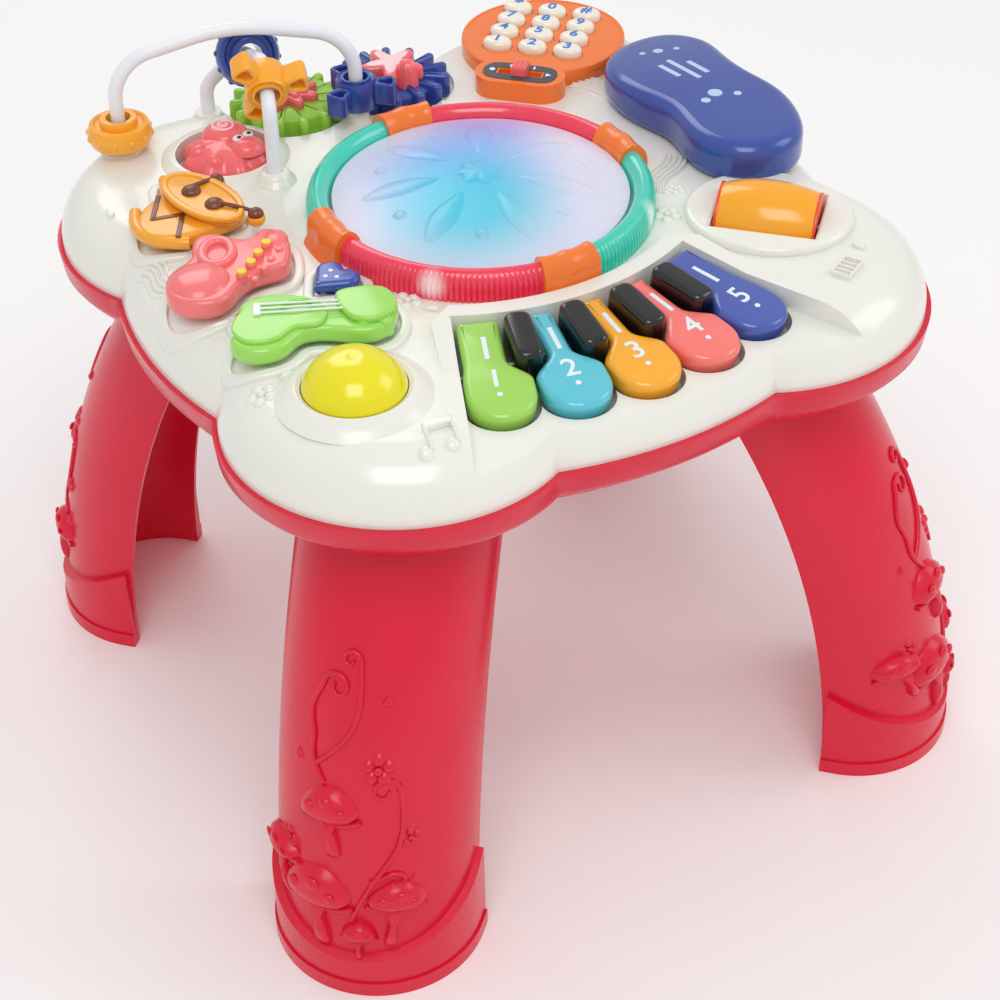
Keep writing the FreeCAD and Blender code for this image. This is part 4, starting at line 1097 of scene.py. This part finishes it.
# Golden and deep blue ABS: the beads' polished colours
bead_gold = plastic("Golden ABS, polished mould", "FFB22E", "FAA824", 0.19, coat=0.3, coat_roughness=0.07)
bead_blue = plastic("Deep blue ABS, polished mould", "2F49A0", "294294", 0.19, coat=0.3,
                    coat_roughness=0.07)
bead_long = 16.0


def flower_bead():
    """A disc with twelve small bumps, a groove on each face and an inner collar round the bore."""
    half = bead_long / 2
    section = [(6.0, -half), (8.6, -half), (9.2, -half + 1), (9.2, -4.2), (11.4, -4.2), (12.4, -5.6),
               (14.2, -5.0), (15.4, -2.6), (15.7, 0), (15.4, 2.6), (14.2, 5.0), (12.4, 5.6), (11.4, 4.2),
               (9.2, 4.2), (9.2, half - 1), (8.6, half), (6.0, half), (6.0, -half)]
    forms = [turned(section, 72)]
    for step in range(12):
        a = 2 * math.pi * step / 12
        forms.append(ball(14.9 * math.cos(a), 14.9 * math.sin(a), 0, 1.75, 1.2, 12))
    return joined(forms)


def bow_bead(start):
    """A ringed hub with three rounded loops, each as tall as the hub and open through."""
    half = bead_long / 2
    section = [(6.0, -half), (7.2, -half), (7.4, -half + 1.2), (8.0, -half + 1.2), (9.4, -half + 0.4),
               (9.9, -half + 1.6), (9.9, half - 1.6), (9.4, half - 0.4), (8.0, half - 1.2),
               (7.4, half - 1.2), (7.2, half), (6.0, half), (6.0, -half)]
    forms = [turned(section, 56)]
    for step in range(3):
        rim = smooth_loop([(8.2, -3.0), (13, -4.4), (17.6, -5.2), (19.4, -3.5), (19.8, 0), (19.4, 3.5),
                           (17.6, 5.2), (13, 4.4), (8.2, 3.0)], 5)
        gap = smooth_loop([(11.6, -1.2), (14.4, -2.4), (16.8, -3.3), (17.6, -2.0), (17.8, 0), (17.6, 2.0),
                           (16.8, 3.3), (14.4, 2.4), (11.6, 1.6)], 5)
        forms.append(moved(slab([rim, gap[::-1]], 11.4, 1.1, 4), z=-5.7, turn=start + 120 * step))
    return joined(forms)


up = Vector((0, 0, 1))


def threaded(mesh, middle, axis):
    """Sets a bead's middle at a place in metres, with its bore along the axis."""
    mesh.transform(Matrix.Translation(middle) @ up.rotation_difference(Vector(axis)).to_matrix().to_4x4())
    return mesh


def node_middle(node):
    """The middle of a node's box."""
    low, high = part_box(node)
    return (low + high) / 2


piece("flower_bead_gold", threaded(flower_bead(), node_middle("bead_flower_orange"), up), bead_gold,
      "orange_flower_bead", ["bead_flower_orange"])
piece("flower_bead_blue", threaded(flower_bead(), node_middle("bead_flower_blue"), (10, 51.4, -20)),
      bead_blue, "blue_flower_bead", ["bead_flower_blue"])
blue_bow = moved(bow_bead(90), -10.0, 106.0, 288.0)
piece("bow_bead_blue", blue_bow, bead_blue, "blue_bow_bead", ["bead_bow_blue"])
gold_bow = threaded(bow_bead(90), (-66.5 * MM, 84.5 * MM, 317.0 * MM), (9, 25, 10))
piece("bow_bead_gold", gold_bow, bead_gold, "orange_bow_bead", ["bead_bow_orange"])

# Inside: the circuit board, lamp board, speaker and cells, each in its own common material. They sit
# in the tray and are seen only through the grille or with the battery door off.
# Board, cone and cell wrap: dull green glass epoxy, dark fibrous paper and a shiny blue film
green_board = plastic("Glass epoxy board, green mask", "1F6B43", "1A5F3B", 0.35)
paper_cone = plastic("Black paper cone, pressed", "222226", "1A1A1E", 0.7, relief_mm=0.05)
cell_wrap = plastic("Shrink film on steel cells", "2E6FB7", "275FA0", 0.3)
for node, material in (("circuit_board", green_board), ("drum_light_board", green_board),
                       ("speaker", paper_cone), ("batteries", cell_wrap)):
    dress(node, material)

# Stage: a plain pale floor, one large soft lamp above and in front, a weaker one from the left and a
# white surround, at which a colour renders about as written.
floor_mesh = bpy.data.meshes.new("floor")
reach = 6.0
floor_mesh.from_pydata([(-reach, -reach, 0), (reach, -reach, 0), (reach, reach, 0), (-reach, reach, 0)],
                       [], [(0, 1, 2, 3)])
# Backdrop paper: a matt white that keeps soft shadows
floor_paper = plastic("White backdrop paper, matt", "FFFFFF", "FCFCFC", 0.8, flow_mm=400.0, grain_mm=1.5,
                      relief_mm=0.02)
floor_mesh.materials.append(floor_paper)
floor = bpy.data.objects.new("floor", floor_mesh)
bpy.context.scene.collection.objects.link(floor)

scene = bpy.context.scene
world = bpy.data.worlds.new("Studio")
world.use_nodes = True
background = world.node_tree.nodes["Background"]
background.inputs["Color"].default_value = (1, 1, 1, 1)
background.inputs["Strength"].default_value = 0.64
scene.world = world
for name, place, size, power in (("key", (-0.5, -0.9, 1.7), 0.9, 9.5),
                                 ("fill", (1.3, -0.6, 1.2), 0.8, 4.0),
                                 ("back", (0.2, 1.3, 1.4), 0.8, 4.5)):
    lamp = bpy.data.lights.new(name, "AREA")
    lamp.size = size
    lamp.energy = power
    holder = bpy.data.objects.new(name + "_lamp", lamp)
    holder.location = place
    holder.rotation_euler = (Vector((0, 0, 0.25)) - Vector(place)).to_track_quat("-Z", "Y").to_euler()
    scene.collection.objects.link(holder)
scene.view_settings.view_transform = "Standard"

# Camera: the photograph's own angle, above the front left corner
camera_data = bpy.data.cameras.new("camera")
camera_data.sensor_width = 36.0
camera_data.lens = 77.69
camera_data.shift_x = 0.013
camera = bpy.data.objects.new("camera", camera_data)
right = Vector((0.87566, -0.48295, 0.0))
above = Vector((0.30058, 0.54499, 0.78275))
back = Vector((-0.37802, -0.68541, 0.62238))
roll = math.radians(-1.1628)
turned_right = right * math.cos(roll) + above * math.sin(roll)
turned_up = above * math.cos(roll) - right * math.sin(roll)
facing = Matrix((turned_right, turned_up, back)).transposed().to_4x4()
camera.matrix_world = Matrix.Translation((-0.4182, -0.7583, 0.7886)) @ facing
scene.collection.objects.link(camera)
scene.camera = camera
